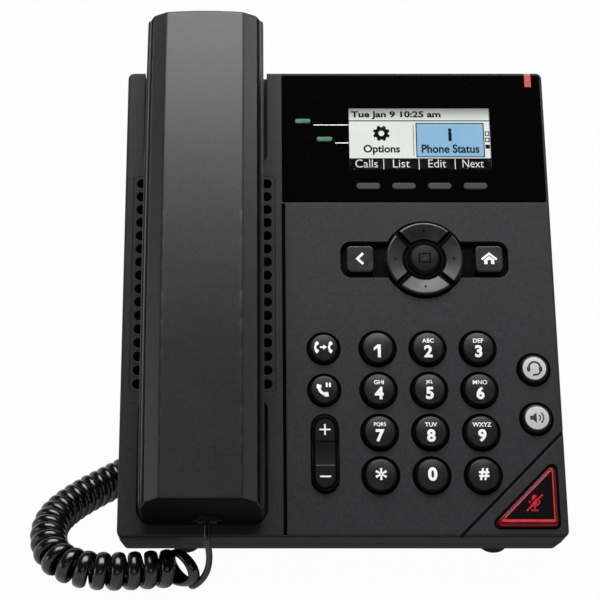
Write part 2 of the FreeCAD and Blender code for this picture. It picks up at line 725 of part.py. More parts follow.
def speaker_grille():
    """Perforated sheet with a thin flange below the face around it."""
    low = -FACE_T - GRILLE_FLANGE_T
    spread = 2 * GRILLE_FLANGE
    sheet = plate(GRILLE_X, GRILLE_U, GRILLE_W, GRILLE_L, 1.9, -FACE_T, 0)
    frame = plate(GRILLE_X, GRILLE_U, GRILLE_W + spread, GRILLE_L + spread, 2.5, low, -FACE_T)
    frame = frame.cut(plate(GRILLE_X, GRILLE_U, GRILLE_W - 2.0, GRILLE_L - 2.0, 1.5, low - 1, 0))
    holes = []
    for row in range(GRILLE_ROWS):
        for col in range(GRILLE_COLS):
            x = GRILLE_X + (col - (GRILLE_COLS - 1) / 2) * GRILLE_COL_PITCH
            u = GRILLE_U + (row - (GRILLE_ROWS - 1) / 2) * GRILLE_PITCH
            holes.append(rod(x, u, GRILLE_HOLE_R, -FACE_T - 1, 1))
    return one_solid(joined(sheet, [frame]).cut(holes))


def loudspeaker():
    top = -FACE_T - GRILLE_FLANGE_T
    return spun(
        [
            (0, top - 4.0),
            (6.0, top - 5.5),
            (SPEAKER_R - 4.5, top - 0.8),
            (SPEAKER_R - 3.0, top - 0.4),
            (SPEAKER_R - 2.0, top),
            (SPEAKER_R, top),
            (SPEAKER_R, top - 1.6),
            (SPEAKER_R - 2.0, top - 2.0),
            (16.0, top - 10.0),
            (16.0, top - 17.0),
            (0, top - 17.0),
        ],
        GRILLE_X,
        GRILLE_U,
    )


def display_bezel():
    x = (BEZEL_X0 + BEZEL_X1) / 2
    u = (BEZEL_U0 + BEZEL_U1) / 2
    outline = rectangle(x, u, BEZEL_X1 - BEZEL_X0 - 2 * SEAM, BEZEL_U1 - BEZEL_U0 - 2 * SEAM)
    panel = softened(slab(outline, 0.7, -BEZEL_T, 0), 0, 0.3)
    cuts = [
        slab(rectangle(WINDOW_X, WINDOW_U, WINDOW_W, WINDOW_H), 0.3, -BEZEL_T - 1, 1),
        block(LIGHT_X - LIGHT_W / 2, LIGHT_X + LIGHT_W / 2, LIGHT_LOW_U, FACE_L + 1, -BEZEL_T - 1, 1),
    ]
    for name, kx, ku, under in KEYS:
        if name.startswith("soft_key"):
            cuts.append(plate(kx, ku, SOFT_W, SOFT_H, SOFT_H / 2, -BEZEL_T - 1, 1))
        if name.startswith("line_key"):
            cuts.append(plate(kx, ku, LINE_W, LINE_H, LINE_H / 2, -BEZEL_T - 1, 1))
    return one_solid(panel.cut(cuts))


def display_window():
    return slab(
        rectangle(WINDOW_X, WINDOW_U, WINDOW_W - 2 * SEAM, WINDOW_H - 2 * SEAM), 0.25, -PANE_T - SEAM, -SEAM
    )


def lcd_module():
    glass_top = -PANE_T - 2 * SEAM
    glass = slab(
        rectangle(WINDOW_X, WINDOW_U, WINDOW_W - 2 * SEAM, WINDOW_H - 2 * SEAM), 0.25, -PANEL_UNDER, glass_top
    )
    body = plate(WINDOW_X, WINDOW_U, LCD_W, LCD_H, 1.0, -PANEL_UNDER - LCD_T, -PANEL_UNDER)
    return joined(body, [glass])


def message_light():
    w = LIGHT_W - 2 * SEAM
    x0 = LIGHT_X - w / 2
    over = block(x0, x0 + w, LIGHT_LOW_U + SEAM, FACE_L, -BEZEL_T + SEAM, 0)
    wrap = block(x0, x0 + w, FACE_L - BEZEL_T + SEAM, FACE_L, -LIGHT_WRAP + SEAM, 0)
    light = joined(over, [wrap])
    edge = [e for e in edges_at(light, 0) if e.BoundBox.YMin > FACE_L - 0.01]
    return light.makeFillet(RIM_R, edge)


def board_right():
    return FACE_W / 2 - WALL - BOARD_EDGE_GAP


def keypad_mat():
    """Rubber mat on the board, with a bump below each key."""
    low = -BOARD_DEPTH
    left = BOARD_X0 + MAT_INSET
    sheet = block(left, board_right() - MAT_INSET / 2, BOARD_U0 + MAT_INSET, MAT_TOP_U, low, MAT_TOP)
    sheet = joined(sheet, [block(left, MAT_TAB_X1, MAT_TOP_U - 1, MAT_TAB_TOP_U, low, MAT_TOP)])
    bumps = [(x, u) for name, x, u, under in KEYS]
    middle = (PAD_IN_R + PAD_OUT_R) / 2
    bumps += [(PAD_X + middle, NAV_U), (PAD_X - middle, NAV_U), (PAD_X, NAV_U + middle), (PAD_X, NAV_U - middle)]
    bumps += [(SIDE_X, VOLUME_U - 9.5), (SIDE_X, VOLUME_U + 9.5)]
    x = (MUTE_WELL[0][0] + MUTE_WELL[1][0] + MUTE_WELL[2][0]) / 3
    u = (MUTE_WELL[0][1] + MUTE_WELL[1][1] + MUTE_WELL[2][1]) / 3
    bumps.append((x, u))
    sheet = joined(sheet, [rod(bx, bu, BUMP_R, MAT_TOP - 0.2, BUMP_TOP) for bx, bu in bumps])
    holes = [rod(bx, bu, 2.4, low - 1, 0) for bx, bu in BOARD_POSTS]
    holes += [rod(bx, bu, BOSS_R + 0.5, low - 1, 0) for bx, bu in BOSSES]
    return one_solid(sheet.cut(holes))


def main_board():
    top = -BOARD_DEPTH
    board = block(BOARD_X0, board_right(), BOARD_U0, FACE_L - BOARD_U0, top - BOARD_T, top)
    return one_solid(board.cut([rod(x, u, BOSS_R + 0.5, top - 5, top + 5) for x, u in BOSSES]))


def jack_shell(x):
    for middle, left, right in jack_cells():
        if middle == x:
            return block(left + SEAM / 2, right - SEAM / 2, JACK_U - JACK_H / 2, JACK_U + JACK_H / 2,
                         -BACK_DEPTH, -BOARD_DEPTH - BOARD_T)


def network_jacks():
    """Two eight-way sockets that open on the back, each with a latch notch."""
    made = []
    for x in NETWORK_X:
        mouth = -BACK_DEPTH - 1
        deep = -BACK_DEPTH + SOCKET_DEPTH
        hole = block(x - 5.9, x + 5.9, JACK_U - 4.6, JACK_U + 2.6, mouth, deep)
        latch = block(x - 3.2, x + 3.2, JACK_U + 2.5, JACK_U + 4.6, mouth, deep)
        made.append(jack_shell(x).cut([hole, latch]))
    return Part.makeCompound(made)


def modular_hole(x, middle_u, n0, n1):
    w = PLUG_W + 2 * SOCKET_FIT
    h = PLUG_H + 2 * SOCKET_FIT
    return block(x - w / 2, x + w / 2, middle_u - h / 2, middle_u + h / 2, n0, n1)


def modular_jacks():
    made = []
    for x in MODULAR_X:
        hole = modular_hole(x, JACK_U, -BACK_DEPTH - 1, -BACK_DEPTH + SOCKET_DEPTH)
        made.append(jack_shell(x).cut(hole))
    return Part.makeCompound(made)


def base_plug():
    x = MODULAR_X[0]
    low = -BACK_DEPTH - PLUG_TAIL
    return block(x - PLUG_W / 2, x + PLUG_W / 2, JACK_U - PLUG_H / 2, JACK_U + PLUG_H / 2,
                 low, -BACK_DEPTH + SOCKET_DEPTH - SOCKET_FIT)


def power_jack():
    shell = jack_shell(POWER_X)
    deep = -BACK_DEPTH + 10.0
    shell = shell.cut(rod(POWER_X, JACK_U, 3.2, -BACK_DEPTH - 1, deep))
    return joined(shell, [rod(POWER_X, JACK_U, 1.0, -BACK_DEPTH + 1, deep + 1)])


def base_microphone():
    return Part.makeCylinder(3.0, 3.2, V(MIC_X, WALL, -MIC_DEPTH), V(0, 1, 0))


def housing_screws():
    made = []
    for x, u in BOSSES:
        head = rod(x, u, SCREW_HEAD_R, -BACK_DEPTH + 0.1, -BACK_DEPTH + SCREW_HEAD_H)
        head = head.cut(block(x - 2.0, x + 2.0, u - 0.4, u + 0.4, -BACK_DEPTH - 1, -BACK_DEPTH + 0.8))
        head = head.cut(block(x - 0.4, x + 0.4, u - 2.0, u + 2.0, -BACK_DEPTH - 1, -BACK_DEPTH + 0.8))
        shank = rod(x, u, SCREW_R - 0.05, -BACK_DEPTH + SCREW_HEAD_H - 0.2, -BACK_DEPTH + 11)
        made.append(joined(head, [shank]))
    return Part.makeCompound(made)


def hook_plunger():
    """Post that the lying handset holds down, level with the upper cup's floor."""
    low = -CUP_DEPTH - CUP_FLOOR - HOOK_LIFT - REST_GAP
    post = plate(BAY_X, HOOK_U, HOOK_W, HOOK_L, 1.0, low - 1.5, -CUP_DEPTH)
    post = softened(post, -CUP_DEPTH, 0.6)
    return joined(post, [plate(BAY_X, HOOK_U, HOOK_W + 4, HOOK_L + 4, 1.5, low - 1.5, low)])


def desk_stand():
    """Bracket hooked into the back of the base, with a leg down to the desk."""
    low = -BACK_DEPTH
    half = STAND_W / 2
    flange = plate(0, (STAND_FLANGE_U0 + STAND_FLANGE_U1) / 2, STAND_W, STAND_FLANGE_U1 - STAND_FLANGE_U0,
                   4.0, low - STAND_T, low)
    out_y = STAND_FLANGE_U1 * COS + (BACK_DEPTH + STAND_T) * SIN
    out_z = FACE_LIFT + STAND_FLANGE_U1 * SIN - (BACK_DEPTH + STAND_T) * COS
    in_y = out_y - (STAND_LEG_T + 4) * COS
    in_z = out_z - (STAND_LEG_T + 4) * SIN
    root_y = out_y - STAND_T * SIN / 2
    root_z = out_z + STAND_T * COS / 2
    inner_root_y = in_y - STAND_T * SIN / 2
    inner_root_z = in_z + STAND_T * COS / 2
    toe = STAND_REACH - 26.0
    outline = [
        (root_y, root_z),
        (inner_root_y, inner_root_z),
        (in_y, in_z),
        (STAND_REACH - STAND_LEG_T - 2, FOOT_H + STAND_LEG_T),
        (toe, FOOT_H + STAND_LEG_T),
        (toe, FOOT_H),
        (STAND_REACH, FOOT_H),
        (out_y, out_z),
    ]
    wire = Part.makePolygon([V(-half, y, z) for y, z in outline + outline[:1]])
    leg = from_desk(Part.Face(wire).extrude(V(STAND_W, 0, 0)))
    parts = [leg]
    for s in (-1, 1):
        x0 = s * (half - 1.5) - 1.5
        rib = Part.makePolygon([
            V(x0, in_y, in_z),
            V(x0, toe, FOOT_H + 1),
            V(x0, STAND_REACH - 3, FOOT_H + 1),
            V(x0, out_y, out_z - 3),
            V(x0, in_y, in_z),
        ])
        parts.append(from_desk(Part.Face(rib).extrude(V(3.0, 0, 0))))
        hook_u = STAND_FLANGE_U1 - 9
        hook_x = s * STAND_HOOK_X - STAND_HOOK_W / 2
        neck = block(hook_x, hook_x + STAND_HOOK_W, hook_u - 1.4, hook_u + 1.0, low - 1, low + WALL + 2)
        lip = block(hook_x, hook_x + STAND_HOOK_W, hook_u - 1.4, hook_u + 4.0, low + WALL + SEAM, low + WALL + 2)
        parts += [neck, lip]
    return one_solid(joined(flange, parts))


def rubber_feet():
    """Four round feet: two under the base's lower edge and two under the stand."""
    front_y = FRONT_DEPTH * SIN + FOOT_R + 0.6
    spots = [(s * FRONT_FOOT_X, front_y) for s in (-1, 1)]
    spots += [(s * STAND_FOOT_X, STAND_REACH - 13.0) for s in (-1, 1)]
    made = []
    for x, y in spots:
        foot = Part.makeCylinder(FOOT_R, FOOT_H, V(x, y, 0))
        foot = foot.makeFillet(0.6, [e for e in foot.Edges if e.BoundBox.ZMax < 0.01])
        made.append(from_desk(foot))
    return Part.makeCompound(made)


def top_bow(inset):
    """Wide leaning cylinder whose side is the handset's bowed top end, pulled in by inset."""
    foot = -60.0
    reach = TOP_BOW_R * math.sqrt(1 + TOP_LEAN * TOP_LEAN)
    middle_u = HANDSET_TOP_U - inset - reach - foot * TOP_LEAN
    return Part.makeCylinder(TOP_BOW_R, 160.0, V(BAY_X, middle_u, foot), V(0, -TOP_LEAN, 1))


def end_planes(inset, n0, n1):
    """Block between the handset's two leaning ends, pulled in by inset."""
    low = HANDSET_LOW_U + inset
    points = [
        (low + n0 * END_LEAN, n0),
        (low + n1 * END_LEAN, n1),
        (HANDSET_TOP_U + 20, n1),
        (HANDSET_TOP_U + 20, n0),
    ]
    return side_profile(points, 0, BAY_X - 40, BAY_X + 40).common(top_bow(inset))


def arched(points, radii):
    """Section in x and n at the handset's middle, swept along its arch."""
    wire = rounded_wire(points, radii, end_on)
    wire.translate(V(BAY_X, HANDSET_MID_U, 0))
    hub = V(BAY_X, HANDSET_MID_U, HANDSET_RISE - ARCH_R)
    face = Part.Face(wire)
    face.rotate(hub, V(1, 0, 0), -9)
    return face.revolve(hub, V(1, 0, 0), 18)


def handset_outer_shell():
    """Cover with a flat top and a facet along each side."""
    half = COVER_W / 2
    edge = half - COVER_SIDE_LEAN
    flat = COVER_FLAT_W / 2
    top = HANDSET_RISE
    split = top - SHELL_SPLIT
    lip = half - 1.2
    outside = [
        (-lip, split),
        (lip, split),
        (lip, split + SHELL_REVEAL),
        (half, split + SHELL_REVEAL),
        (edge, top - COVER_FACET_DROP),
        (flat, top),
        (-flat, top),
        (-edge, top - COVER_FACET_DROP),
        (-half, split + SHELL_REVEAL),
        (-lip, split + SHELL_REVEAL),
    ]
    radii = [0, 0, 0, 0, COVER_EDGE_R, COVER_FLAT_R, COVER_FLAT_R, COVER_EDGE_R, 0, 0]
    cover = arched(outside, radii).common(end_planes(0, 0, 60))
    ends = []
    for e in cover.Edges:
        box = e.BoundBox
        on_end = box.YMax < HANDSET_LOW_U + 7 or box.YMin > HANDSET_TOP_U - 12
        high = box.ZMin > HANDSET_RISE - SHELL_SPLIT - 7.5 + SHELL_REVEAL + 2.0
        if on_end and high:
            ends.append(e)
    cover = cover.makeFillet(COVER_END_R, ends)
    wall = HANDSET_WALL
    inner = lip - wall + 0.6
    inside = [
        (-inner, split - 1),
        (inner, split - 1),
        (inner, top - COVER_FACET_DROP - wall),
        (flat - 2, top - wall),
        (2 - flat, top - wall),
        (-inner, top - COVER_FACET_DROP - wall),
    ]
    return one_solid(cover.cut(arched(inside, 0).common(end_planes(wall + 0.6, -10, 60))))


def handset_inner_shell():
    """Lower half of the handset: two pods that lie in the cups and the grip between them."""
    half = HANDSET_W / 2
    high = 25.0
    low_n = -POD_DEPTH
    outside = [
        (HANDSET_LOW_U, 0),
        (HANDSET_LOW_U + 2.2, low_n),
        (LOWER_POD_U, low_n),
        (LOWER_POD_U + 9, GRIP_N - 2.4),
        ((LOWER_POD_U + UPPER_POD_U) / 2, GRIP_N),
        (UPPER_POD_U - 9, GRIP_N - 2.4),
        (UPPER_POD_U, low_n),
        (HANDSET_TOP_U - 3, low_n),
        (HANDSET_TOP_U, 0),
        (HANDSET_TOP_U - high * TOP_LEAN, high),
        (HANDSET_LOW_U + high * END_LEAN, high),
    ]
    radii = [1.0, 1.8, 4.0, 8.0, 300.0, 8.0, 4.0, 1.8, 1.0, 0, 0]
    body = side_profile(outside, radii, BAY_X - half, BAY_X + half)
    corners = []
    for e in body.Edges:
        box = e.BoundBox
        on_side = abs(abs(box.Center.x - BAY_X) - half) < 0.01 and box.XLength < 0.01
        at_end = box.YMax < HANDSET_LOW_U + 6 or box.YMin > HANDSET_TOP_U - 8
        if on_side and at_end and box.ZLength > 10:
            corners.append(e)
    body = body.makeFillet(END_CORNER_R, corners).common(top_bow(0))
    split = HANDSET_RISE - SHELL_SPLIT
    under_split = arched([(-half, -60), (half, -60), (half, split), (-half, split)], [0, 0, 0.9, 0.9])
    body = body.common(under_split)
    wall = HANDSET_WALL
    inside = [
        (HANDSET_LOW_U + 4.6, low_n + wall),
        (LOWER_POD_U - 2.5, low_n + wall),
        (LOWER_POD_U + 6, GRIP_N - 2.4 + wall),
        ((LOWER_POD_U + UPPER_POD_U) / 2, GRIP_N + wall),
        (UPPER_POD_U - 6, GRIP_N - 2.4 + wall),
        (UPPER_POD_U + 2.5, low_n + wall),
        (HANDSET_TOP_U - 5, low_n + wall),
        (HANDSET_TOP_U - 3.7 - 30 * TOP_LEAN, 30),
        (HANDSET_LOW_U + 7, 30),
    ]
    inner = COVER_W / 2 - 1.2 - wall + 0.6
    cuts = [side_profile(inside, 0, BAY_X - inner, BAY_X + inner)]
    for ring_r, count in ((0.0, 1), (4.5, 6), (9.0, 12)):
        for i in range(count):
            a = 2 * math.pi * i / count
            cuts.append(rod(BAY_X + ring_r * math.cos(a), RECEIVER_U + ring_r * math.sin(a), 1.1, -9, -2))
    for i in range(3):
        cuts.append(plate(BAY_X + 5 * (i - 1), MOUTH_U, 1.6, 6.0, 0.8, -9, -2))
    jack = handset_socket_box(SEAM)
    cuts.append(jack)
    for u in HANDSET_SCREWS:
        cuts.append(rod(BAY_X, u, SCREW_R + 0.2, -10, 30))
        cuts.append(rod(BAY_X, u, SCREW_HEAD_R + 0.2, -10, GRIP_N - 0.9 + SCREW_HEAD_H))
    return one_solid(body.cut(cuts))


def handset_socket_box(extra):
    x = BAY_X + HANDSET_JACK_X
    low_u = HANDSET_LOW_U + HANDSET_JACK_N * END_LEAN - 3 * (extra > 0)
    return block(x - 5.5 - extra, x + 5.5 + extra, low_u, HANDSET_LOW_U + 16 + extra,
                 HANDSET_JACK_N - 4.6 - extra, HANDSET_JACK_N + 4.6 + extra)


def handset_socket():
    x = BAY_X + HANDSET_JACK_X
    w = PLUG_W / 2 + SOCKET_FIT
    h = PLUG_H / 2 + SOCKET_FIT
    hole = block(x - w, x + w, 0, HANDSET_LOW_U + SOCKET_DEPTH + 1, HANDSET_JACK_N - h, HANDSET_JACK_N + h)
    shell = handset_socket_box(0).common(end_planes(0.0, -20, 40))
    return one_solid(shell.cut(hole))


def handset_plug():
    x = BAY_X + HANDSET_JACK_X
    return block(x - PLUG_W / 2, x + PLUG_W / 2, HANDSET_LOW_U - 1.4, HANDSET_LOW_U + SOCKET_DEPTH,
                 HANDSET_JACK_N - PLUG_H / 2, HANDSET_JACK_N + PLUG_H / 2)


def handset_receiver():
    low = -POD_DEPTH + HANDSET_WALL
    return spun(
        [(0, low + 1.0), (11.0, low + 1.0), (12.0, low), (15.0, low), (15.0, low + 5.0), (9.0, low + 9.0), (0, low + 9.0)],
        BAY_X,
        RECEIVER_U,
    )


def handset_microphone():
    low = -POD_DEPTH + HANDSET_WALL
    return rod(BAY_X, MOUTH_U, 4.85, low, low + 5.0)


def handset_screws():
    made = []
    for u in HANDSET_SCREWS:
        top = GRIP_N - 0.9 + SCREW_HEAD_H
        head = rod(BAY_X, u, SCREW_HEAD_R, top - SCREW_HEAD_H + 0.3, top)
        head = head.cut(block(BAY_X - 2.0, BAY_X + 2.0, u - 0.4, u + 0.4, 0, top - 0.6))
        head = head.cut(block(BAY_X - 0.4, BAY_X + 0.4, u - 2.0, u + 2.0, 0, top - 0.6))
        made.append(joined(head, [rod(BAY_X, u, SCREW_R - 0.05, top - 0.2, top + 7)]))
    return Part.makeCompound(made)


def set_down(shape, shift):
    moved = shape.copy()
    moved.rotate(V(0, 0, 0), V(1, 0, 0), FACE_TILT)
    moved.translate(shift)
    return moved


def spot(x, u, n, shift):
    """A place in the face's frame, as it lies on the desk."""
    return V(x, u * COS - n * SIN, u * SIN + n * COS) + shift


def biarc(p0, t0, p1, t1):
    """Two arcs that leave p0 along t0 and reach p1 along t1."""
    v = p1 - p0
    a = 2 * (1 - t0.dot(t1))
    b = 2 * v.dot(t0 + t1)
    c = -v.dot(v)
    if abs(a) < 1e-9:
        d = -c / b
    else:
        d = (-b + math.sqrt(b * b - 4 * a * c)) / (2 * a)
    middle = (p0 + t0 * d + p1 - t1 * d) * 0.5
    return [tangent_arc(p0, t0, middle), tangent_arc(p1, -t1, middle, True)]


def tangent_arc(p, t, q, turned=False):
    """Arc from p, leaving along t, to q."""
    chord = q - p
    off = chord - t * chord.dot(t)
    start, end = (q, p) if turned else (p, q)
    if off.Length < 1e-4 * chord.Length:
        return Part.makeLine(start, end), 1e9
    off.normalize()
    r = chord.dot(chord) / (2 * chord.dot(off))
    hub = p + off * r
    half = (p - hub) + (q - hub)
    half.normalize()
    return Part.Arc(start, hub + half * r, end).toShape(), r


def spline(poles):
    """Smooth curve of second degree that starts at the first pole and ends at the last."""
    curve = Part.BSplineCurve()
    count = len(poles)
    mults = [3] + [1] * (count - 3) + [3]
    curve.buildFromPolesMultsKnots(poles, mults, list(range(count - 1)), False, 2)
    return curve


def way(curve, s):
    """Place and direction on a curve at a distance from its start."""
    t = curve.parameterAtDistance(s, curve.FirstParameter)
    d = V(*curve.tangent(t)[0])
    d.normalize()
    return curve.value(t), d


def cord_line(shift):
    """Middle line of the cord as places and directions: a lead, the curls and another lead."""
    face_end = spot(BAY_X + HANDSET_JACK_X, HANDSET_LOW_U - 1.4, HANDSET_JACK_N, shift)
    back_end = spot(MODULAR_X[0], JACK_U, -BACK_DEPTH - PLUG_TAIL, shift)
    down_face = V(0, -COS, -SIN)
    out_back = V(0, SIN, -COS)
    poles = [V(x, y, z) for x, y, z in CORD_ROUTE]
    poles += [back_end + out_back * (2 * CORD_D), back_end + out_back * CORD_D, back_end]
    route = spline(poles)
    total = route.length()

    # The frame is carried along the route without twisting
    steps = 1200
    along = []
    normal = V(0, 0, 1)
    for i in range(steps + 1):
        p, d = way(route, total * i / steps)
        normal = normal - d * normal.dot(d)
        normal.normalize()
        along.append((p, d, V(normal)))

    def at(s):
        i = min(int(s / total * steps), steps - 1)
        share = s / total * steps - i
        a, b = along[i], along[i + 1]
        d = a[1] * (1 - share) + b[1] * share
        n = a[2] * (1 - share) + b[2] * share
        d.normalize()
        n = n - d * n.dot(d)
        n.normalize()
        return a[0] * (1 - share) + b[0] * share, d, n

    def swell(turns):
        edge = min(1.0, (COIL_TURNS - turns) / COIL_EASE)
        return COIL_R * edge * edge * (3 - 2 * edge)

    # Distance along the route at each quarter turn: open first, close after, and drawn out at the far end
    weights = list(COIL_FIRST_TURN)
    for q in range(4, 4 * COIL_TURNS):
        turn = (q + 0.5) / 4
        weight = 1 + (COIL_OPEN - 1) * max(0.0, 1 - turn / COIL_OPEN_TURNS)
        weight += COIL_EASE_OPEN * max(0.0, 1 - (COIL_TURNS - turn) / COIL_EASE)
        weights.append(weight)
    each = (total - COIL_STOPS) / sum(weights)
    quarters = [0.0]
    for weight in weights:
        quarters.append(quarters[-1] + weight * each)
    print("cord: close pitch %.2f mm, route %.0f mm" % (4 * each, total))

    def curl(q):
        """Place on the curls after q quarter turns, from the bottom of the first one."""
        i = min(max(int(q), 0), len(quarters) - 2)
        s = quarters[i] + (quarters[i + 1] - quarters[i]) * (q - i)
        p, d, n = at(s)
        angle = math.pi - q * math.pi / 2
        b = d.cross(n)
        return p + (n * math.cos(angle) + b * math.sin(angle)) * swell(q / 4)

    curls = []
    for q in range(len(quarters)):
        h = 0.02
        d = curl(min(q + h, len(quarters) - 1)) - curl(max(q - h, 0))
        d.normalize()
        curls.append((curl(q), d))
    start, heading = curls[0]
    poles = [face_end, face_end + down_face * CORD_D, face_end + down_face * (2 * CORD_D)]
    poles += [V(x, y, z) for x, y, z in CORD_LEAD]
    poles += [start - heading * LEAD_MEETS, start]
    lead = spline(poles)
    nodes = [way(lead, s) for s in lead_stops(lead.length(), CORD_D)]
    nodes += curls
    for s in reversed(lead_stops(total - quarters[-1], CORD_D)):
        p, d, n = at(total - s)
        nodes.append((p, d))
    return nodes, COIL_TURNS


def lead_stops(length, straight):
    """Distances along a plain lead: its end, the end of its straight run, and about every 5 mm after."""
    count = max(2, int(round((length - straight) / 5.0)))
    return [0.0] + [straight + (length - straight) * i / count for i in range(count)]


def handset_cord(shift):
    nodes, turns = cord_line(shift)
    edges = []
    tightest = 1e9
    for (p0, t0), (p1, t1) in zip(nodes, nodes[1:]):
        for edge, r in biarc(p0, t0, p1, t1):
            edges.append(edge)
            tightest = min(tightest, r)
    path = Part.Wire(edges)
    start, heading = nodes[0]
    profile = Part.Wire(Part.makeCircle(CORD_D / 2, start, heading))
    tube = path.makePipeShell([profile], True, False)
    points = []
    for e in edges:
        points += e.discretize(5)[:-1]
    lengths = [0.0]
    for a, b in zip(points, points[1:]):
        lengths.append(lengths[-1] + (b - a).Length)
    nearest = 1e9
    for i in range(len(points)):
        for j in range(i + 1, len(points)):
            if lengths[j] - lengths[i] > 4 * CORD_D:
                nearest = min(nearest, (points[i] - points[j]).Length)
    lowest = min(p.z for p in points) - CORD_D / 2
    print("cord: %.1f turns, %.0f mm of wire, tightest arc %.2f mm" % (turns, path.Length, tightest))
    print("cord: least gap to itself %.2f mm, lowest point %.2f mm" % (nearest - CORD_D, lowest))
    return tube


def build():
    cap, rim = mute_pieces()
    pieces = {
        "front_housing": front_housing(),
        "rear_housing": rear_housing(),
        "speaker_grille": speaker_grille(),
        "arrow_insert": arrow_insert(),
        "display_bezel": display_bezel(),
        "display_window": display_window(),
        "lcd_module": lcd_module(),
        "message_light": message_light(),
        "keypad_mat": keypad_mat(),
        "main_board": main_board(),
        "loudspeaker": loudspeaker(),
        "network_jacks": network_jacks(),
        "modular_jacks": modular_jacks(),
        "power_jack": power_jack(),
        "base_microphone": base_microphone(),
        "base_plug": base_plug(),
        "housing_screws": housing_screws(),
        "desk_stand": desk_stand(),
        "rubber_feet": rubber_feet(),
        "hook_plunger": hook_plunger(),
        "volume_rocker": volume_rocker(),
        "mute_key": cap,
        "mute_rim": rim,
        "handset_outer_shell": handset_outer_shell(),
        "handset_inner_shell": handset_inner_shell(),
        "handset_receiver": handset_receiver(),
        "handset_microphone": handset_microphone(),
        "handset_socket": handset_socket(),
        "handset_plug": handset_plug(),
        "handset_screws": handset_screws(),
    }
    pieces.update(plain_keys())
    pieces.update(arrow_pads())
    return pieces


def main():
    os.makedirs("parts", exist_ok=True)
    pieces = build()
    whole = FreeCAD.BoundBox()
    for shape in pieces.values():
        whole.add(set_down(shape, V(0, 0, 0)).optimalBoundingBox(False))
    shift = V(-whole.Center.x, -whole.Center.y, -whole.ZMin)
    print("size %.2f x %.2f x %.2f" % (whole.XLength, whole.YLength, whole.ZLength))
    print("shift %.3f %.3f %.3f" % (shift.x, shift.y, shift.z))
    for name, shape in pieces.items():
        set_down(shape, shift).exportStep("parts/%s.step" % name)
    cord = handset_cord(shift)
    cord.exportStep("parts/handset_cord.step")
    print("%d nodes" % (len(pieces) + 1))


main()
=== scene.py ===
import bpy
import bmesh
import math
from bisect import bisect_right
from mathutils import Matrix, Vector


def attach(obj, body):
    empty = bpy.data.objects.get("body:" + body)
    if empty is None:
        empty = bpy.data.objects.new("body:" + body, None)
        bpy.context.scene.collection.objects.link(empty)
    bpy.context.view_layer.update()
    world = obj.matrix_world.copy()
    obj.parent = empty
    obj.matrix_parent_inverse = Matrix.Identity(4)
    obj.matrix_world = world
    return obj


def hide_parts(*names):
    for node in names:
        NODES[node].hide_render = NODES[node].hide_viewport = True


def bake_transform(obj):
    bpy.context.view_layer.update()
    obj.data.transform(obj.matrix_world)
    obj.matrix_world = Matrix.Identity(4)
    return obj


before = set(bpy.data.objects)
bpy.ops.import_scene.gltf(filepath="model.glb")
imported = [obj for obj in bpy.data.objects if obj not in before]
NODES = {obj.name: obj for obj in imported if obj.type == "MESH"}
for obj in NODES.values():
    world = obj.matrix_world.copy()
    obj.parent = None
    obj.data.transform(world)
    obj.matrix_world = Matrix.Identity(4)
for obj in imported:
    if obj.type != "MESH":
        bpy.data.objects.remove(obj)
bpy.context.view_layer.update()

# Places on the tilted face are in millimetres: x across it, u up it and n out of it.
TILT = math.radians(40.0)
ACROSS = Vector((1.0, 0.0, 0.0))
UP_FACE = Vector((0.0, math.cos(TILT), math.sin(TILT)))
OUT_FACE = Vector((0.0, -math.sin(TILT), math.cos(TILT)))
FACE_EDGE = Vector((0.0, -0.079675, 0.021385))


def on_face(x, u, n):
    return FACE_EDGE + (Vector((x, 0.0, 0.0)) + UP_FACE * u + OUT_FACE * n) / 1000


def eased(t):
    t = max(0.0, min(1.0, t))
    return t * t * (3 - 2 * t)


def shown(name, data):
    piece = bpy.data.objects.new(name, data)
    bpy.context.scene.collection.objects.link(piece)
    return piece


def skin(shape, loops):
    """Four-sided faces between each loop of points and the next."""
    for a, b in zip(loops, loops[1:]):
        for k in range(len(a)):
            n = (k + 1) % len(a)
            shape.faces.new((a[k], a[n], b[n], b[k]))


def mesh_of(name, shape):
    mesh = bpy.data.meshes.new(name)
    shape.to_mesh(mesh)
    shape.free()
    return mesh


def set_camera():
    lens = bpy.data.cameras.new("desk_view")
    lens.lens = 100.317
    lens.sensor_width = 36.0
    lens.shift_x = 0.0812
    lens.shift_y = -0.0028
    lens.clip_start = 0.01
    camera = shown("desk_view", lens)
    camera.location = (-0.0344227, -0.5685668, 0.4233265)
    camera.rotation_euler = (math.radians(58.7), 0.0, 0.0)
    bpy.context.scene.camera = camera


set_camera()

# The curly cord, from the handset's plug to the base's plug, in millimetres. It starts in open turns that
# close up over COIL_OPEN_TURNS, and a lead runs from COIL_STOPS before its end into the base.
HANDSET_END = Vector((-51.0, -79.004, 27.431))
BASE_END = Vector((10.0, -20.407, 25.427))
CORD_D = 3.2
CORD_SIDES = 16
COIL_R = 5.7
COIL_TURNS = 53
COIL_OPEN = 1.51
COIL_OPEN_TURNS = (6.0, 14.0)
COIL_FIRST_TURN = [0.43, 0.43, 0.69, 2.07]
COIL_EASE = 1.4
COIL_EASE_OPEN = 2.2
COIL_STOPS = 52.0
LEAD_MEETS = 3.0
LEAD_FLATTENS = 12.0
LEAD_STEPS = 46
TAIL_STEPS = 40
# Turns lean along the coil, the first more than the rest. A fade is the quarter turn where a lean is gone, and
# the number of quarter turns that this takes.
COIL_LEAN = 1.0
COIL_LEAN_FADE = (40, 24)
COIL_FIRST_LEAN = 4.4
COIL_FIRST_FADE = (6, 3)
QUARTER_STEPS = 8
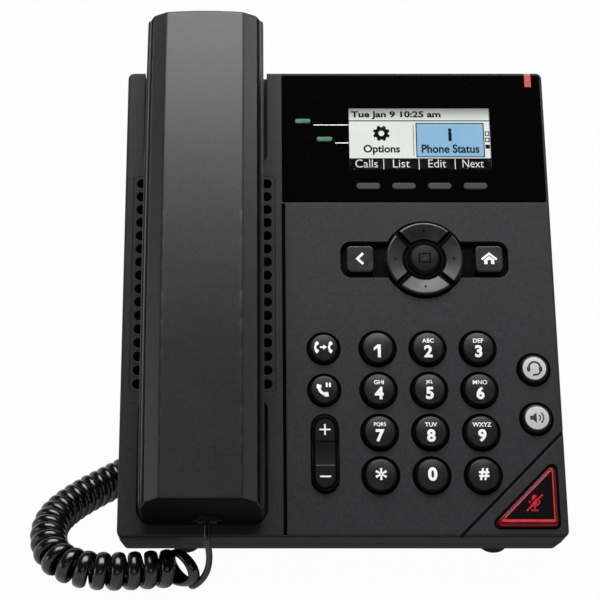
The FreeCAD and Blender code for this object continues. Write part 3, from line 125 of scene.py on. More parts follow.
# The strand is round in the leads and flattened in the turns, over its first quarter turns.
LEAD_HIGH = 2.5
STRAND_HIGH = 3.2
STRAND_WIDE = 5.2
STRAND_TIGHT = 4.1
STRAND_FLAT_AFTER = 6
CORD_LEAD = [(-50.0, -84.4, 17.6), (-50.4, -85.2, 11.0), (-53.0, -85.8, 5.4), (-57.0, -85.6, 1.9)]
CORD_ROUTE = [
    (-59.4, -80.6, 7.5), (-68.0, -81.6, 7.5), (-78.0, -82.6, 7.5), (-88.5, -83.2, 7.5), (-99.5, -81.8, 7.5),
    (-109.4, -75.8, 7.5), (-113.5, -64.0, 7.5), (-112.4, -51.5, 7.5), (-104.0, -39.5, 7.5), (-89.5, -26.5, 7.5),
    (-74.0, -13.0, 7.5), (-60.0, 2.0, 7.5), (-47.0, 17.0, 7.5), (-30.0, 30.0, 7.5), (-9.0, 36.0, 7.5),
    (10.0, 32.0, 7.5), (17.0, 16.0, 7.5), (12.0, -2.0, 8.0),
]


def smooth_points(poles):
    """Points read from one smooth spline that runs past some poles."""
    curve = bpy.data.curves.new("cord_lie", "CURVE")
    curve.dimensions = "3D"
    curve.resolution_u = 40
    spline = curve.splines.new("NURBS")
    spline.points.add(len(poles) - 1)
    for point, pole in zip(spline.points, poles):
        point.co = (*pole, 1.0)
    spline.order_u = 3
    spline.use_endpoint_u = True
    holder = bpy.data.objects.new("cord_lie", curve)
    line = bpy.data.meshes.new_from_object(holder)
    points = [v.co.copy() for v in line.vertices]
    bpy.data.objects.remove(holder)
    bpy.data.meshes.remove(line)
    return points


class Lie:
    """The cord's lie by distance: the place, the way along and a steady way up."""

    def __init__(self, points, up):
        self.points = points
        self.far = [0.0]
        for a, b in zip(points, points[1:]):
            self.far.append(self.far[-1] + (b - a).length)
        self.length = self.far[-1]
        self.along = []
        self.up = []
        for i in range(len(points)):
            way = points[min(i + 1, len(points) - 1)] - points[max(i - 1, 0)]
            way.normalize()
            up = (up - way * up.dot(way)).normalized()
            self.along.append(way)
            self.up.append(up)

    def at(self, s):
        i = min(max(bisect_right(self.far, s) - 1, 0), len(self.points) - 2)
        share = (s - self.far[i]) / (self.far[i + 1] - self.far[i])
        way = self.along[i].lerp(self.along[i + 1], share).normalized()
        up = self.up[i].lerp(self.up[i + 1], share)
        up = (up - way * up.dot(way)).normalized()
        return self.points[i].lerp(self.points[i + 1], share), way, up


def openness(turn):
    """1 in the open turns, 0 in the tight ones."""
    near, far = COIL_OPEN_TURNS
    return eased((far - turn) / (far - near))


def quarter_turns(length):
    """Distance along the lie at each quarter turn of the curls."""
    weights = list(COIL_FIRST_TURN)
    for q in range(4, 4 * COIL_TURNS):
        turn = (q + 0.5) / 4
        weight = 1 + (COIL_OPEN - 1) * openness(turn)
        weights.append(weight + COIL_EASE_OPEN * max(0.0, 1 - (COIL_TURNS - turn) / COIL_EASE))
    each = (length - COIL_STOPS) / sum(weights)
    stops = [0.0]
    for weight in weights:
        stops.append(stops[-1] + weight * each)
    return stops


def lean_at(turned):
    gone, over = COIL_LEAN_FADE
    first_gone, first_over = COIL_FIRST_FADE
    lean = COIL_LEAN * eased((gone - turned) / over)
    return lean + (COIL_FIRST_LEAN - COIL_LEAN) * eased((first_gone - turned) / first_over)


def curl_rings():
    """Rings of the curls and of the lead behind them.

    Each has its middle, the way out of the coil, and the strand's two sizes.
    """
    poles = [Vector(p) for p in CORD_ROUTE] + [BASE_END - OUT_FACE * (CORD_D * i) for i in (2, 1, 0)]
    lie = Lie(smooth_points(poles), Vector((0.0, 0.0, 1.0)))
    stops = quarter_turns(lie.length)
    rings = []

    def ring(s, turned, share):
        place, way, up = lie.at(s)
        angle = math.pi - turned * math.pi / 2
        out = up * math.cos(angle) + way.cross(up) * math.sin(angle)
        flat = share * eased((turned + 1) / STRAND_FLAT_AFTER)
        wide = STRAND_TIGHT + (STRAND_WIDE - STRAND_TIGHT) * openness(turned / 4)
        sizes = (LEAD_HIGH + (STRAND_HIGH - LEAD_HIGH) * flat, LEAD_HIGH + (wide - LEAD_HIGH) * flat)
        middle = place + out * (COIL_R * share) + way * (lean_at(turned) * math.sin(angle))
        rings.append((middle, out, sizes))

    for q in range(len(stops) - 1):
        for k in range(QUARTER_STEPS):
            turned = q + k / QUARTER_STEPS
            s = stops[q] + (stops[q + 1] - stops[q]) * k / QUARTER_STEPS
            ring(s, turned, eased((COIL_TURNS - turned / 4) / COIL_EASE))
    for i in range(TAIL_STEPS + 1):
        ring(stops[-1] + (lie.length - stops[-1]) * i / TAIL_STEPS, 4 * COIL_TURNS, 0.0)
    return rings


def lead_rings(curls):
    """Rings of the lead from the handset down into the first curl, carried back from that curl without a twist."""
    start, out, sizes = curls[0]
    heading = (curls[1][0] - start).normalized()
    poles = [HANDSET_END - UP_FACE * (CORD_D * i) for i in range(3)] + [Vector(p) for p in CORD_LEAD]
    points = smooth_points(poles + [start - heading * LEAD_MEETS, start])
    lie = Lie(points[::-1], out)
    rings = []
    for i in range(1, LEAD_STEPS + 1):
        s = lie.length * i / LEAD_STEPS
        place, way, up = lie.at(s)
        still = 1 - eased(s / LEAD_FLATTENS)
        rings.append((place, up, tuple(LEAD_HIGH + (size - LEAD_HIGH) * still for size in sizes)))
    return rings[::-1]


def curly_cord():
    curls = curl_rings()
    rings = lead_rings(curls) + curls
    shape = bmesh.new()
    loops = []
    for i, (middle, out, (high, wide)) in enumerate(rings):
        way = (rings[min(i + 1, len(rings) - 1)][0] - rings[max(i - 1, 0)][0]).normalized()
        out = (out - way * out.dot(way)).normalized()
        side = way.cross(out)
        loop = []
        for k in range(CORD_SIDES):
            a = 2 * math.pi * k / CORD_SIDES
            spot = middle + out * (math.cos(a) * high / 2) + side * (math.sin(a) * wide / 2)
            loop.append(shape.verts.new(spot / 1000))
        loops.append(loop)
    skin(shape, loops)
    shape.faces.new(loops[0][::-1])
    shape.faces.new(loops[-1])
    bmesh.ops.recalc_face_normals(shape, faces=shape.faces)
    mesh = mesh_of("curly_cord", shape)
    mesh.shade_smooth()
    cord = shown("curly_cord", mesh)
    path = [middle / 1000 for middle, out, sizes in rings]
    length = sum((b - a).length for a, b in zip(path, path[1:]))
    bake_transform(cord)
    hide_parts("handset_cord")
    return cord


cord = curly_cord()


class Coat:
    """One output among a finish's nodes. Sums written with it add the nodes that work them out."""

    def __init__(self, tree, socket=None):
        self.tree = tree
        self.socket = socket

    def add(self, kind, settings=None, values=None, out=0):
        node = self.tree.nodes.new("ShaderNode" + kind)
        for name, value in (settings or {}).items():
            setattr(node, name, value)
        for name, value in (values or {}).items():
            if isinstance(value, Coat):
                self.tree.links.new(value.socket, node.inputs[name])
            else:
                node.inputs[name].default_value = value
        return Coat(self.tree, node.outputs[out] if node.outputs else None)

    def beside(self, out):
        """Another output of the same node."""
        return Coat(self.tree, self.socket.node.outputs[out])

    def sum_of(self, operation, a, b):
        return self.add("Math", {"operation": operation}, {0: a, 1: b})

    def __add__(self, other):
        return self.sum_of("ADD", self, other)

    __radd__ = __add__

    def __mul__(self, other):
        return self.sum_of("MULTIPLY", self, other)

    __rmul__ = __mul__

    def __sub__(self, other):
        return self.sum_of("SUBTRACT", self, other)

    def __rsub__(self, other):
        return self.sum_of("SUBTRACT", other, self)

    def __abs__(self):
        return self.add("Math", {"operation": "ABSOLUTE"}, {0: self})

    def larger(self, other):
        return self.sum_of("MAXIMUM", self, other)

    def along(self, way):
        """How far a place or a way reaches along another way."""
        return self.add("VectorMath", {"operation": "DOT_PRODUCT"}, {0: self, 1: way}, out=1)

    def spread(self, low, high):
        """0 at or below low, 1 at or above high."""
        return self.add("MapRange", {"clamp": True}, {"Value": self, "From Min": low, "From Max": high})

    def between(self, dark, light):
        """A colour from dark to light as this goes from 0 to 1."""
        return self.add("Mix", {"data_type": "RGBA"}, {0: self, 6: dark, 7: light}, out=2)


def shade(r, g=None, b=None):
    """A colour from its 0 to 255 screen values."""
    values = (r, r, r) if g is None else (r, g, b)
    linear = []
    for value in values:
        c = value / 255
        linear.append(c / 12.92 if c < 0.04045 else ((c + 0.055) / 1.055) ** 2.4)
    return (*linear, 1.0)


def toned(colour, share, more=0.0):
    """The same colour, darker or lighter."""
    return tuple(c * share + more for c in colour[:3]) + (1.0,)


def new_finish(name):
    finish = bpy.data.materials.new(name)
    finish.use_nodes = True
    finish.node_tree.nodes.clear()
    return finish, Coat(finish.node_tree)


def spot_on(coat):
    """The place on a piece, in metres."""
    return coat.add("TexCoord", out=3)


def way_out(coat):
    """The way a surface faces."""
    return coat.add("NewGeometry", out=1)


def speckle(coat, size, detail=2.0):
    """Soft random grain with bumps about this many millimetres apart."""
    return coat.add("TexNoise", None, {"Vector": spot_on(coat), "Scale": 1000.0 / size, "Detail": detail})


def softened(coat, radius):
    """The way a surface faces, with its edges eased over this many millimetres."""
    return coat.add("Bevel", {"samples": 8}, {"Radius": radius / 1000})


def edges(coat, soft):
    """1 along the eased edges, 0 on the flats."""
    return (1 - soft.along(way_out(coat))).spread(0.02, 0.35)


def facing(coat, way, low, high):
    """From 0 to 1 as a surface turns to face this way."""
    return way_out(coat).along(way).spread(low, high)


def raised(coat, grain, strength, height, soft=None):
    """A bump this many millimetres high, on the softened way that a surface faces if told."""
    values = {"Strength": strength, "Distance": height / 1000, "Height": grain}
    if soft:
        values["Normal"] = soft
    return coat.add("Bump", None, values)


def close(coat, values):
    body = coat.add("BsdfPrincipled", None, values)
    coat.add("OutputMaterial", None, {"Surface": body})


def close_mixed(coat, share, first, second):
    """Ends a finish that goes from one surface to another as share goes from 0 to 1."""
    a, b = [coat.add("BsdfPrincipled", None, values) for values in (first, second)]
    mixed = coat.add("MixShader", None, {0: share, 1: a, 2: b})
    coat.add("OutputMaterial", None, {"Surface": mixed})


def side_band(coat, middle, reach):
    """1 on steep sides less than reach from a middle line, in millimetres across."""
    blur = 0.1
    away = abs(spot_on(coat).along(ACROSS) - middle / 1000)
    steep = facing(coat, ACROSS, 0.8, 0.92) + facing(coat, -ACROSS, 0.8, 0.92)
    return steep * (1 - away.spread((reach - blur) / 1000, (reach + blur) / 1000))


def ridges(coat):
    """1 on the narrow rounded ridges between the facets, which turn part of the way to a side."""
    turn = abs(way_out(coat).along(ACROSS))
    return turn.spread(0.06, 0.18) * (1 - turn.spread(0.45, 0.58))


def grained_plastic(name, tone, edge_tone, rough, bump, shine, polish, ease, low_shine, band=None):
    """Charcoal plastic with a fine spark-eroded grain and another tone on its eased edges: paler wear where that tone
    is lighter, painted shade where it is darker.

    It has painted shade, darker and duller, on its low end, and on the ridges and a band of its sides if told where
    that lies.
    """
    finish, coat = new_finish(name)
    soft = softened(coat, ease)
    fine = speckle(coat, 0.34)
    pits = speckle(coat, 0.9)
    broad = speckle(coat, 2.6, 3.0)
    cloud = speckle(coat, 40.0)
    mottle = (fine * 0.25 + pits * 0.4 + broad * 0.2 + cloud * 0.15).spread(0.38, 0.62)
    edge_share = edges(coat, soft) * (0.45 + 0.4 * broad)
    grain = raised(coat, fine * 0.4 + pits * 0.4 + broad * 0.2, bump, 0.08, soft)
    # Painted shade: darker and duller where the surface faces down the face, and if told on a band of steep sides and
    # on the ridges.
    painted_shade = facing(coat, -UP_FACE, 0.6, 0.9)
    if band:
        painted_shade = painted_shade + side_band(coat, *band) + ridges(coat) * 0.3
    close_mixed(coat, painted_shade, {
        "Base Color": edge_share.between(mottle.between(toned(tone, 0.68), toned(tone, 1.32)), edge_tone),
        "Roughness": fine * 0.12 + cloud * 0.06 + (rough - 0.09) + edge_share * polish,
        "Specular IOR Level": shine,
        "Normal": grain,
    }, {
        "Base Color": mottle.between(shade(9), shade(14)),
        "Roughness": fine * 0.12 + (rough + 0.3),
        "Specular IOR Level": low_shine,
        "Normal": grain,
    })
    return finish


def satin_plastic(name, tone, edge_tone, rough, sides=None, shine=0.5):
    """Smooth key plastic with finger polish in patches, and black painted shade where it turns from the face past
    sides.
    """
    finish, coat = new_finish(name)
    fine = speckle(coat, 0.5)
    smear = speckle(coat, 5.0, 3.0)
    edge_share = edges(coat, softened(coat, 0.35)) * 0.5
    colour = (edge_share + (smear - 0.5) * 0.12).between(tone, edge_tone)
    # Painted shade: black where the key turns away from the face.
    if sides:
        colour = facing(coat, OUT_FACE, *sides).between(shade(2), colour)
    close(coat, {
        "Base Color": colour,
        "Roughness": smear.spread(0.3, 0.7) * 0.14 + fine * 0.05 + (rough - 0.09),
        "Specular IOR Level": shine,
        "Normal": raised(coat, fine, 0.08, 0.03),
    })
    return finish


def gloss_plastic(name, tone, rough, smears=0.08, shine=0.5):
    """Polished black with faint smears in its shine."""
    finish, coat = new_finish(name)
    smear = speckle(coat, 14.0, 4.0)
    fine = speckle(coat, 0.8)
    close(coat, {
        "Base Color": fine.spread(0.3, 0.7).between(tone, toned(tone, 1.6, 0.001)),
        "Roughness": smear.spread(0.35, 0.75) * smears + rough,
        "Specular IOR Level": shine,
    })
    return finish


def clear_plastic(name):
    """Clear pane with faint smears."""
    finish, coat = new_finish(name)
    smear = speckle(coat, 9.0, 4.0)
    close(coat, {
        "Base Color": (0.96, 0.97, 0.98, 1.0),
        "Roughness": smear.spread(0.45, 0.8) * 0.03,
        "Transmission Weight": 1.0,
        "IOR": 1.12,
    })
    return finish


def lit_plastic(name, tone, glow, strength):
    """Coloured plastic with a lamp behind it, brighter in places."""
    finish, coat = new_finish(name)
    cloud = speckle(coat, 3.0)
    close(coat, {
        "Base Color": tone,
        "Roughness": cloud * 0.1 + 0.25,
        "Emission Color": cloud.spread(0.3, 0.7).between(toned(glow, 0.72), glow),
        "Emission Strength": strength,
    })
    return finish


def screen_ink(name, low, high, fade=None):
    """A patch of the lit screen with the faint grid of its dots.

    It goes darker up the face from one u to another if told.
    """
    finish, coat = new_finish(name)
    where = spot_on(coat)
    dots = coat.add("TexChecker", None, {"Vector": where, "Scale": 2400.0}, out=1)
    share = (dots * 0.25 + speckle(coat, 18.0) * 0.75).spread(0.25, 0.75)
    if fade:
        start, stop = [FACE_EDGE.dot(UP_FACE) + u / 1000 for u in fade]
        share = share * 0.1 + (1 - where.along(UP_FACE).spread(start, stop)) * 0.9
    close(coat, {
        "Base Color": (0.002, 0.002, 0.002, 1.0),
        "Roughness": dots * 0.05 + 0.4,
        "Specular IOR Level": 0.05,
        "Emission Color": share.between(low, high),
        "Emission Strength": 1.0,
    })
    return finish


def print_ink(name, tone):
    """Flat print with a slight unevenness."""
    finish, coat = new_finish(name)
    fine = speckle(coat, 0.25)
    close(coat, {
        "Base Color": fine.spread(0.3, 0.7).between(toned(tone, 0.9), tone),
        "Roughness": fine * 0.15 + 0.4,
    })
    return finish


def gap_black(name):
    """Black that gives back next to no light: painted shade for the floors of gaps and the seats round keys, and the
    colour of dark marks and joint lines.
    """
    finish, coat = new_finish(name)
    fine = speckle(coat, 0.6)
    close(coat, {
        "Base Color": fine.spread(0.3, 0.7).between(shade(3), shade(8)),
        "Roughness": fine * 0.1 + 0.85,
        "Specular IOR Level": 0.02,
    })
    return finish


def cord_jacket():
    """Shiny black jacket with slight pressing marks, and painted shade, darker and duller, on its low right side."""
    finish, coat = new_finish("cord_jacket")
    fine = speckle(coat, 0.6)
    broad = speckle(coat, 6.0, 3.0)
    cloud = broad.spread(0.3, 0.7)
    marks = raised(coat, fine, 0.05, 0.05)
    # Painted shade: darker and duller where the jacket faces low and to the right.
    shaded_side = facing(coat, Vector((0.8, -0.1, -0.59)), 0.2, 0.75)
    close_mixed(coat, shaded_side, {
        "Base Color": cloud.between(shade(5), shade(11)),
        "Roughness": cloud * 0.08 + fine * 0.04 + 0.16,
        "Normal": marks,
    }, {
        "Base Color": cloud.between(shade(4), shade(9)),
        "Roughness": fine * 0.1 + 0.5,
        "Specular IOR Level": 0.03,
        "Normal": marks,
    })
    return finish


def foot_rubber():
    """Matt rubber with dust in patches."""
    finish, coat = new_finish("foot_rubber")
    fine = speckle(coat, 0.4)
    dust = speckle(coat, 4.0, 4.0)
    close(coat, {
        "Base Color": dust.spread(0.4, 0.8).between(shade(12), shade(26)),
        "Roughness": fine * 0.2 + 0.65,
        "Specular IOR Level": 0.2,
        "Normal": raised(coat, fine, 0.3, 0.08),
    })
    return finish


def bare_metal(name, tone, rough):
    """Metal with a dull stain in places."""
    finish, coat = new_finish(name)
    fine = speckle(coat, 0.3)
    stain = speckle(coat, 3.0, 4.0)
    close(coat, {
        "Base Color": stain.spread(0.3, 0.7).between(toned(tone, 0.7), tone),
        "Metallic": 1.0,
        "Roughness": fine * 0.2 + rough - 0.1,
    })
    return finish


def green_board():
    """Board with its copper tracks showing through the green mask."""
    finish, coat = new_finish("green_board")
    cells = coat.add("TexVoronoi", {"feature": "DISTANCE_TO_EDGE", "distance": "CHEBYCHEV"},
                     {"Vector": spot_on(coat), "Scale": 260.0})
    track = 1 - cells.spread(0.02, 0.07)
    close(coat, {
        "Base Color": track.between(shade(12, 74, 40), shade(40, 112, 62)),
        "Roughness": track * 0.1 + 0.3,
    })
    return finish


HOUSING = grained_plastic("housing_plastic", shade(37, 37, 39), shade(58, 58, 60), rough=0.56, bump=0.22,
                          shine=0.2, polish=-0.08, ease=0.5, low_shine=0.2)
# The handset's edge tone is darker than its tone: painted shade on its eased edges. Its band is painted shade on its
# side walls.
HANDSET = grained_plastic("handset_plastic", shade(37, 37, 38), shade(31, 31, 32), rough=0.42, bump=0.3,
                          shine=0.32, polish=0.35, ease=1.6, low_shine=0.03, band=(-53.0, 21.95))
GRILLE = grained_plastic("grille_plastic", shade(34, 34, 36), shade(50, 50, 52), rough=0.56, bump=0.22,
                         shine=0.2, polish=-0.08, ease=0.4, low_shine=0.2)
# The black sides of these keys are painted shade.
KEY_BLACK = satin_plastic("key_black", shade(27), shade(50), 0.34, sides=(0.9815, 0.985), shine=0.3)
CALL_BLACK = satin_plastic("call_key_black", shade(27), shade(50), 0.34, sides=(0.9895, 0.992), shine=0.3)
ROCKER_BLACK = satin_plastic("rocker_black", shade(12), shade(34), 0.62, sides=(0.9, 0.97), shine=0.12)
PAD_BLACK = satin_plastic("pad_black", shade(20), shade(48), 0.4, shine=0.42)
SELECT_BLACK = satin_plastic("select_key_black", shade(18), shade(40), 0.45, shine=0.15)
SIDE_BLACK = satin_plastic("side_key_black", shade(20), shade(66), 0.36, shine=0.34)
SOFT_GREY = satin_plastic("soft_key_grey", shade(54, 54, 56), shade(90), 0.55, shine=0.2)
LAMP_FRAME = satin_plastic("line_key_frame", shade(84, 86, 86), shade(120), 0.4)
LENS_BLACK = gloss_plastic("lens_black", shade(2), 0.02, smears=0.03, shine=0.12)
INSERT_BLACK = gloss_plastic("insert_black", shade(5), 0.22, shine=0.08)
MUTE_BLACK = gloss_plastic("mute_black", shade(7), 0.18)
SOCKET_BLACK = gloss_plastic("socket_black", shade(16), 0.3)
CLEAR = clear_plastic("clear_pane")
PLUG_DARK = satin_plastic("plug_plastic", shade(18), shade(42), 0.3)
LAMP_RED = lit_plastic("lamp_red", shade(132, 14, 22), shade(206, 32, 42), 0.36)
RIM_RED = lit_plastic("rim_red", shade(52, 4, 9), shade(96, 6, 15), 0.5)
GLOW_RED = lit_plastic("glow_red", shade(120, 10, 20), shade(222, 48, 66), 0.8)
LAMP_GREEN = lit_plastic("lamp_green", shade(14, 78, 44), shade(34, 140, 80), 0.4)
DISC_GREY = lit_plastic("disc_grey", shade(164, 164, 166), shade(190, 190, 192), 0.32)
# Near black for painted shade in wells, grooves and round the rocker, and for dark marks and the joint line.
SHADE_AND_MARK_BLACK = gap_black("shade_and_mark_black")
SCREEN_DARK = gloss_plastic("screen_dark", shade(18, 20, 22), 0.3)
SILICONE = satin_plastic("silicone_grey", shade(150), shade(176), 0.6)
SPEAKER_PAINT = satin_plastic("speaker_paint", shade(16), shade(44), 0.55)
SCREW_STEEL = bare_metal("screw_steel", shade(176, 178, 182), 0.35)
GOLD = bare_metal("contact_gold", shade(222, 178, 92), 0.28)
BOARD = green_board()
RUBBER = foot_rubber()
JACKET = cord_jacket()
WHITE_INK = print_ink("white_ink", shade(250, 250, 250))
DARK_INK = print_ink("dark_ink", shade(24, 24, 26))
RED_INK = lit_plastic("red_ink", shade(130, 16, 26), shade(206, 36, 52), 0.6)
# Faint ink for the signs on the back, and a painted highlight on the rocker.
FAINT_INK_AND_HIGHLIGHT = print_ink("faint_ink_and_highlight", shade(70, 70, 72))

FINISHES = {
    "front_housing": HOUSING, "rear_housing": HOUSING, "desk_stand": HOUSING, "speaker_grille": GRILLE,
    "arrow_insert": INSERT_BLACK, "display_bezel": LENS_BLACK, "display_window": CLEAR, "lcd_module": SCREEN_DARK,
    "message_light": LAMP_RED, "keypad_mat": SILICONE, "main_board": BOARD, "loudspeaker": SPEAKER_PAINT,
    "network_jacks": SOCKET_BLACK, "modular_jacks": SOCKET_BLACK, "power_jack": SOCKET_BLACK,
    "base_microphone": SPEAKER_PAINT, "base_plug": PLUG_DARK, "housing_screws": SCREW_STEEL,
    "rubber_feet": RUBBER, "hook_plunger": KEY_BLACK, "volume_rocker": ROCKER_BLACK, "mute_key": MUTE_BLACK,
    "mute_rim": RIM_RED, "handset_outer_shell": HANDSET, "handset_inner_shell": HANDSET,
    "handset_receiver": SPEAKER_PAINT, "handset_microphone": SPEAKER_PAINT, "handset_socket": HANDSET,
    "handset_plug": PLUG_DARK, "handset_screws": SCREW_STEEL, "handset_cord": JACKET,
    "select_key": SELECT_BLACK, "back_key": SIDE_BLACK, "home_key": SIDE_BLACK,
    "transfer_key": CALL_BLACK, "hold_key": CALL_BLACK,
}


def finish_nodes():
    for name, node in NODES.items():
        if name in FINISHES:
            finish = FINISHES[name]
        elif name.startswith("soft_key"):
            finish = SOFT_GREY
        elif name.startswith("line_key"):
            finish = LAMP_FRAME
        elif name.startswith("arrow_"):
            finish = PAD_BLACK
        else:
            finish = KEY_BLACK
        node.data.materials.clear()
        node.data.materials.append(finish)


finish_nodes()
cord.data.materials.append(JACKET)


# Flat figures for the keys and the screen: lists of outlines in millimetres about a key's middle.
def words(text, high, bold=0.0, x=0.0, y=0.0, wide=None):
    """The faces of some lettering, its tallest sign this high, about (x, y)."""
    curve = bpy.data.curves.new("lettering", "FONT")
    curve.body = text
    curve.offset = bold
    curve.resolution_u = 6
    holder = bpy.data.objects.new("lettering", curve)
    mesh = bpy.data.meshes.new_from_object(holder)
    xs = [v.co.x for v in mesh.vertices]
    ys = [v.co.y for v in mesh.vertices]
    scale = high / (max(ys) - min(ys))
    across = wide / (max(xs) - min(xs)) if wide else scale
    mid_x = (max(xs) + min(xs)) / 2
    mid_y = (max(ys) + min(ys)) / 2
    places = [((v.co.x - mid_x) * across + x, (v.co.y - mid_y) * scale + y) for v in mesh.vertices]
    faces = [[places[i] for i in face.vertices] for face in mesh.polygons]
    bpy.data.objects.remove(holder)
    bpy.data.meshes.remove(mesh)
    return faces


def bar(x0, y0, x1, y1, w):
    """A straight stroke of width w."""
    way = Vector((x1 - x0, y1 - y0)).normalized() * (w / 2)
    return [[(x0 - way.y, y0 + way.x), (x0 + way.y, y0 - way.x), (x1 + way.y, y1 - way.x), (x1 - way.y, y1 + way.x)]]


def patch(x0, y0, x1, y1):
    return [[(x0, y0), (x1, y0), (x1, y1), (x0, y1)]]


def frame_line(x0, y0, x1, y1, w):
    return (patch(x0, y0, x1, y0 + w) + patch(x0, y1 - w, x1, y1) + patch(x0, y0 + w, x0 + w, y1 - w)
            + patch(x1 - w, y0 + w, x1, y1 - w))


def spoke(r, turn, x=0.0, y=0.0):
    """The place r away from (x, y), turn degrees round."""
    a = math.radians(turn)
    return (x + r * math.cos(a), y + r * math.sin(a))


def disc(x, y, r, sides):
    turns = [2 * math.pi * k / sides for k in range(sides)]
    return [[(x + r * math.cos(a), y + r * math.sin(a)) for a in turns]]


def ribbon(places, widths):
    """A stroke along some places, as wide at each as told."""
    lefts = []
    rights = []
    for i, (x, y) in enumerate(places):
        a = places[max(i - 1, 0)]
        b = places[min(i + 1, len(places) - 1)]
        way = Vector((b[0] - a[0], b[1] - a[1])).normalized() * (widths[i] / 2)
        lefts.append((x - way.y, y + way.x))
        rights.append((x + way.y, y - way.x))
    return [[lefts[i], rights[i], rights[i + 1], lefts[i + 1]] for i in range(len(places) - 1)]


def outline(edge, w):
    """A line of width w right round some places."""
    return ribbon(edge + edge[:1], [w] * (len(edge) + 1))


def arc(x, y, r, start, stop, w, steps=20):
    places = [spoke(r, start + (stop - start) * k / steps, x, y) for k in range(steps + 1)]
    return ribbon(places, [w] * (steps + 1))


def receiver(x, y, size, turn):
    """A telephone receiver: a thick bow with a cup at each end, its back towards turn degrees."""
    steps = 28
    half_bow = 62
    places = []
    widths = []
    for k in range(steps + 1):
        t = k / steps
        places.append(spoke(size * 0.62, turn - half_bow + 2 * half_bow * t, x, y))
        end = min(t, 1 - t)
        if end < 0.03:
            widths.append(size * 0.30)
        elif end < 0.24:
            widths.append(size * 0.40)
        else:
            widths.append(size * 0.235)
    return ribbon(places, widths)


def capsule(w, h, steps=10):
    """A bar with round ends, about its middle."""
    r = h / 2
    places = []
    for side in (1, -1):
        for k in range(steps + 1):
            a = math.pi * (k / steps - 0.5)
            places.append((side * (w / 2 - r + r * math.cos(a)), side * r * math.sin(a)))
    return [places]


def capsule_at(x, y, w, h):
    """An upright bar with round ends about (x, y)."""
    return [[(x + b, y + a) for a, b in capsule(h, w)[0]]]


def cut_up(shape, gap):
    """Cuts a flat figure into cells this far apart, so that it can follow a curved top."""
    reaches = [[v.co[axis] for v in shape.verts] for axis in (0, 1)]
    for axis, reach in enumerate(reaches):
        low, high = min(reach), max(reach)
        for k in range(1, int((high - low) / gap) + 1):
            at = Vector((0.0, 0.0, 0.0))
            at[axis] = low + k * gap
            way = Vector((0.0, 0.0, 0.0))
            way[axis] = 1.0
            parts = shape.verts[:] + shape.edges[:] + shape.faces[:]
            bmesh.ops.bisect_plane(shape, geom=parts, plane_co=at, plane_no=way)


def printed(name, faces, body, finish, middle, height, lift=0.03, deep=0.12, mesh_gap=0.7,
            place=on_face, out=OUT_FACE):
    """A thin layer on a surface, the face if not told.

    Its top lies lift above height(x, y), and it reaches deep below that.
    """
    shape = bmesh.new()
    for face in faces:
        shape.faces.new([shape.verts.new((x, y, 0.0)) for x, y in face])
    bmesh.ops.remove_doubles(shape, verts=shape.verts, dist=1e-4)
    bmesh.ops.triangulate(shape, faces=shape.faces)
    if mesh_gap:
        cut_up(shape, mesh_gap)
    tops = {v: height(v.co.x, v.co.y) + lift for v in shape.verts}
    for v, n in tops.items():
        v.co = place(middle[0] + v.co.x, middle[1] + v.co.y, n)
    sunk = bmesh.ops.extrude_face_region(shape, geom=shape.faces[:])
    below = [v for v in sunk["geom"] if isinstance(v, bmesh.types.BMVert)]
    bmesh.ops.translate(shape, vec=out * (-deep / 1000), verts=below)
    bmesh.ops.recalc_face_normals(shape, faces=shape.faces)
    mesh = mesh_of(name, shape)
    mesh.materials.append(finish)
    piece = shown(name, mesh)
    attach(piece, body)


def level(n):
    return lambda x, y: n


def crowned(rim, crown, r):
    return lambda x, y: rim + crown * max(0.0, 1 - (x * x + y * y) / (r * r))


# Where the keys sit on the face, and the shapes of their tops
ORIGIN = (0.0, 0.0)
PAD_X = 34.12
DIAL_PITCH_X = 19.45
DIAL_PITCH_U = 16.75
DIAL_TOP_U = 73.7
DIAL_PLACES = [(PAD_X + (k % 3 - 1) * DIAL_PITCH_X, DIAL_TOP_U - (k // 3) * DIAL_PITCH_U) for k in range(12)]
CALL_X = -6.3
TRANSFER_PLACE = (CALL_X, DIAL_TOP_U)
HOLD_PLACE = (CALL_X, DIAL_TOP_U - DIAL_PITCH_U)
ROCKER_PLACE = (CALL_X, 32.0)
HEADSET_PLACE = (74.9, 65.2)
SPEAKER_PLACE = (74.9, 45.5)
MUTE_PLACE = (72.2, 12.5)
NAV_U = 110.6
SELECT_PLACE = (PAD_X, NAV_U)
BACK_PLACE = (8.5, NAV_U)
HOME_PLACE = (59.6, NAV_U)
DIAL_TOP = crowned(2.2, 0.55, 5.75)
SIDE_TOP = crowned(1.9, 0.4, 5.1)
LIT_TOP = crowned(2.02, 0.34, 4.6)
LAMP_TOP = crowned(0.5, 0.12, 3.4)
SELECT_TOP = crowned(2.0, 0.3, 5.2)
NAV_TOP = level(1.2)
MUTE_TOP = level(1.7)
ROCKER_TOP = 1.6
ROCKER_DISH_R = 28.0
ROCKER_DISH_MID = 29.2
ARROW_RING = (8.85, 14.3)
ARROW_LOW = 0.75
ARROW_RISE = 1.2
ARROW_DOT_R = 11.6


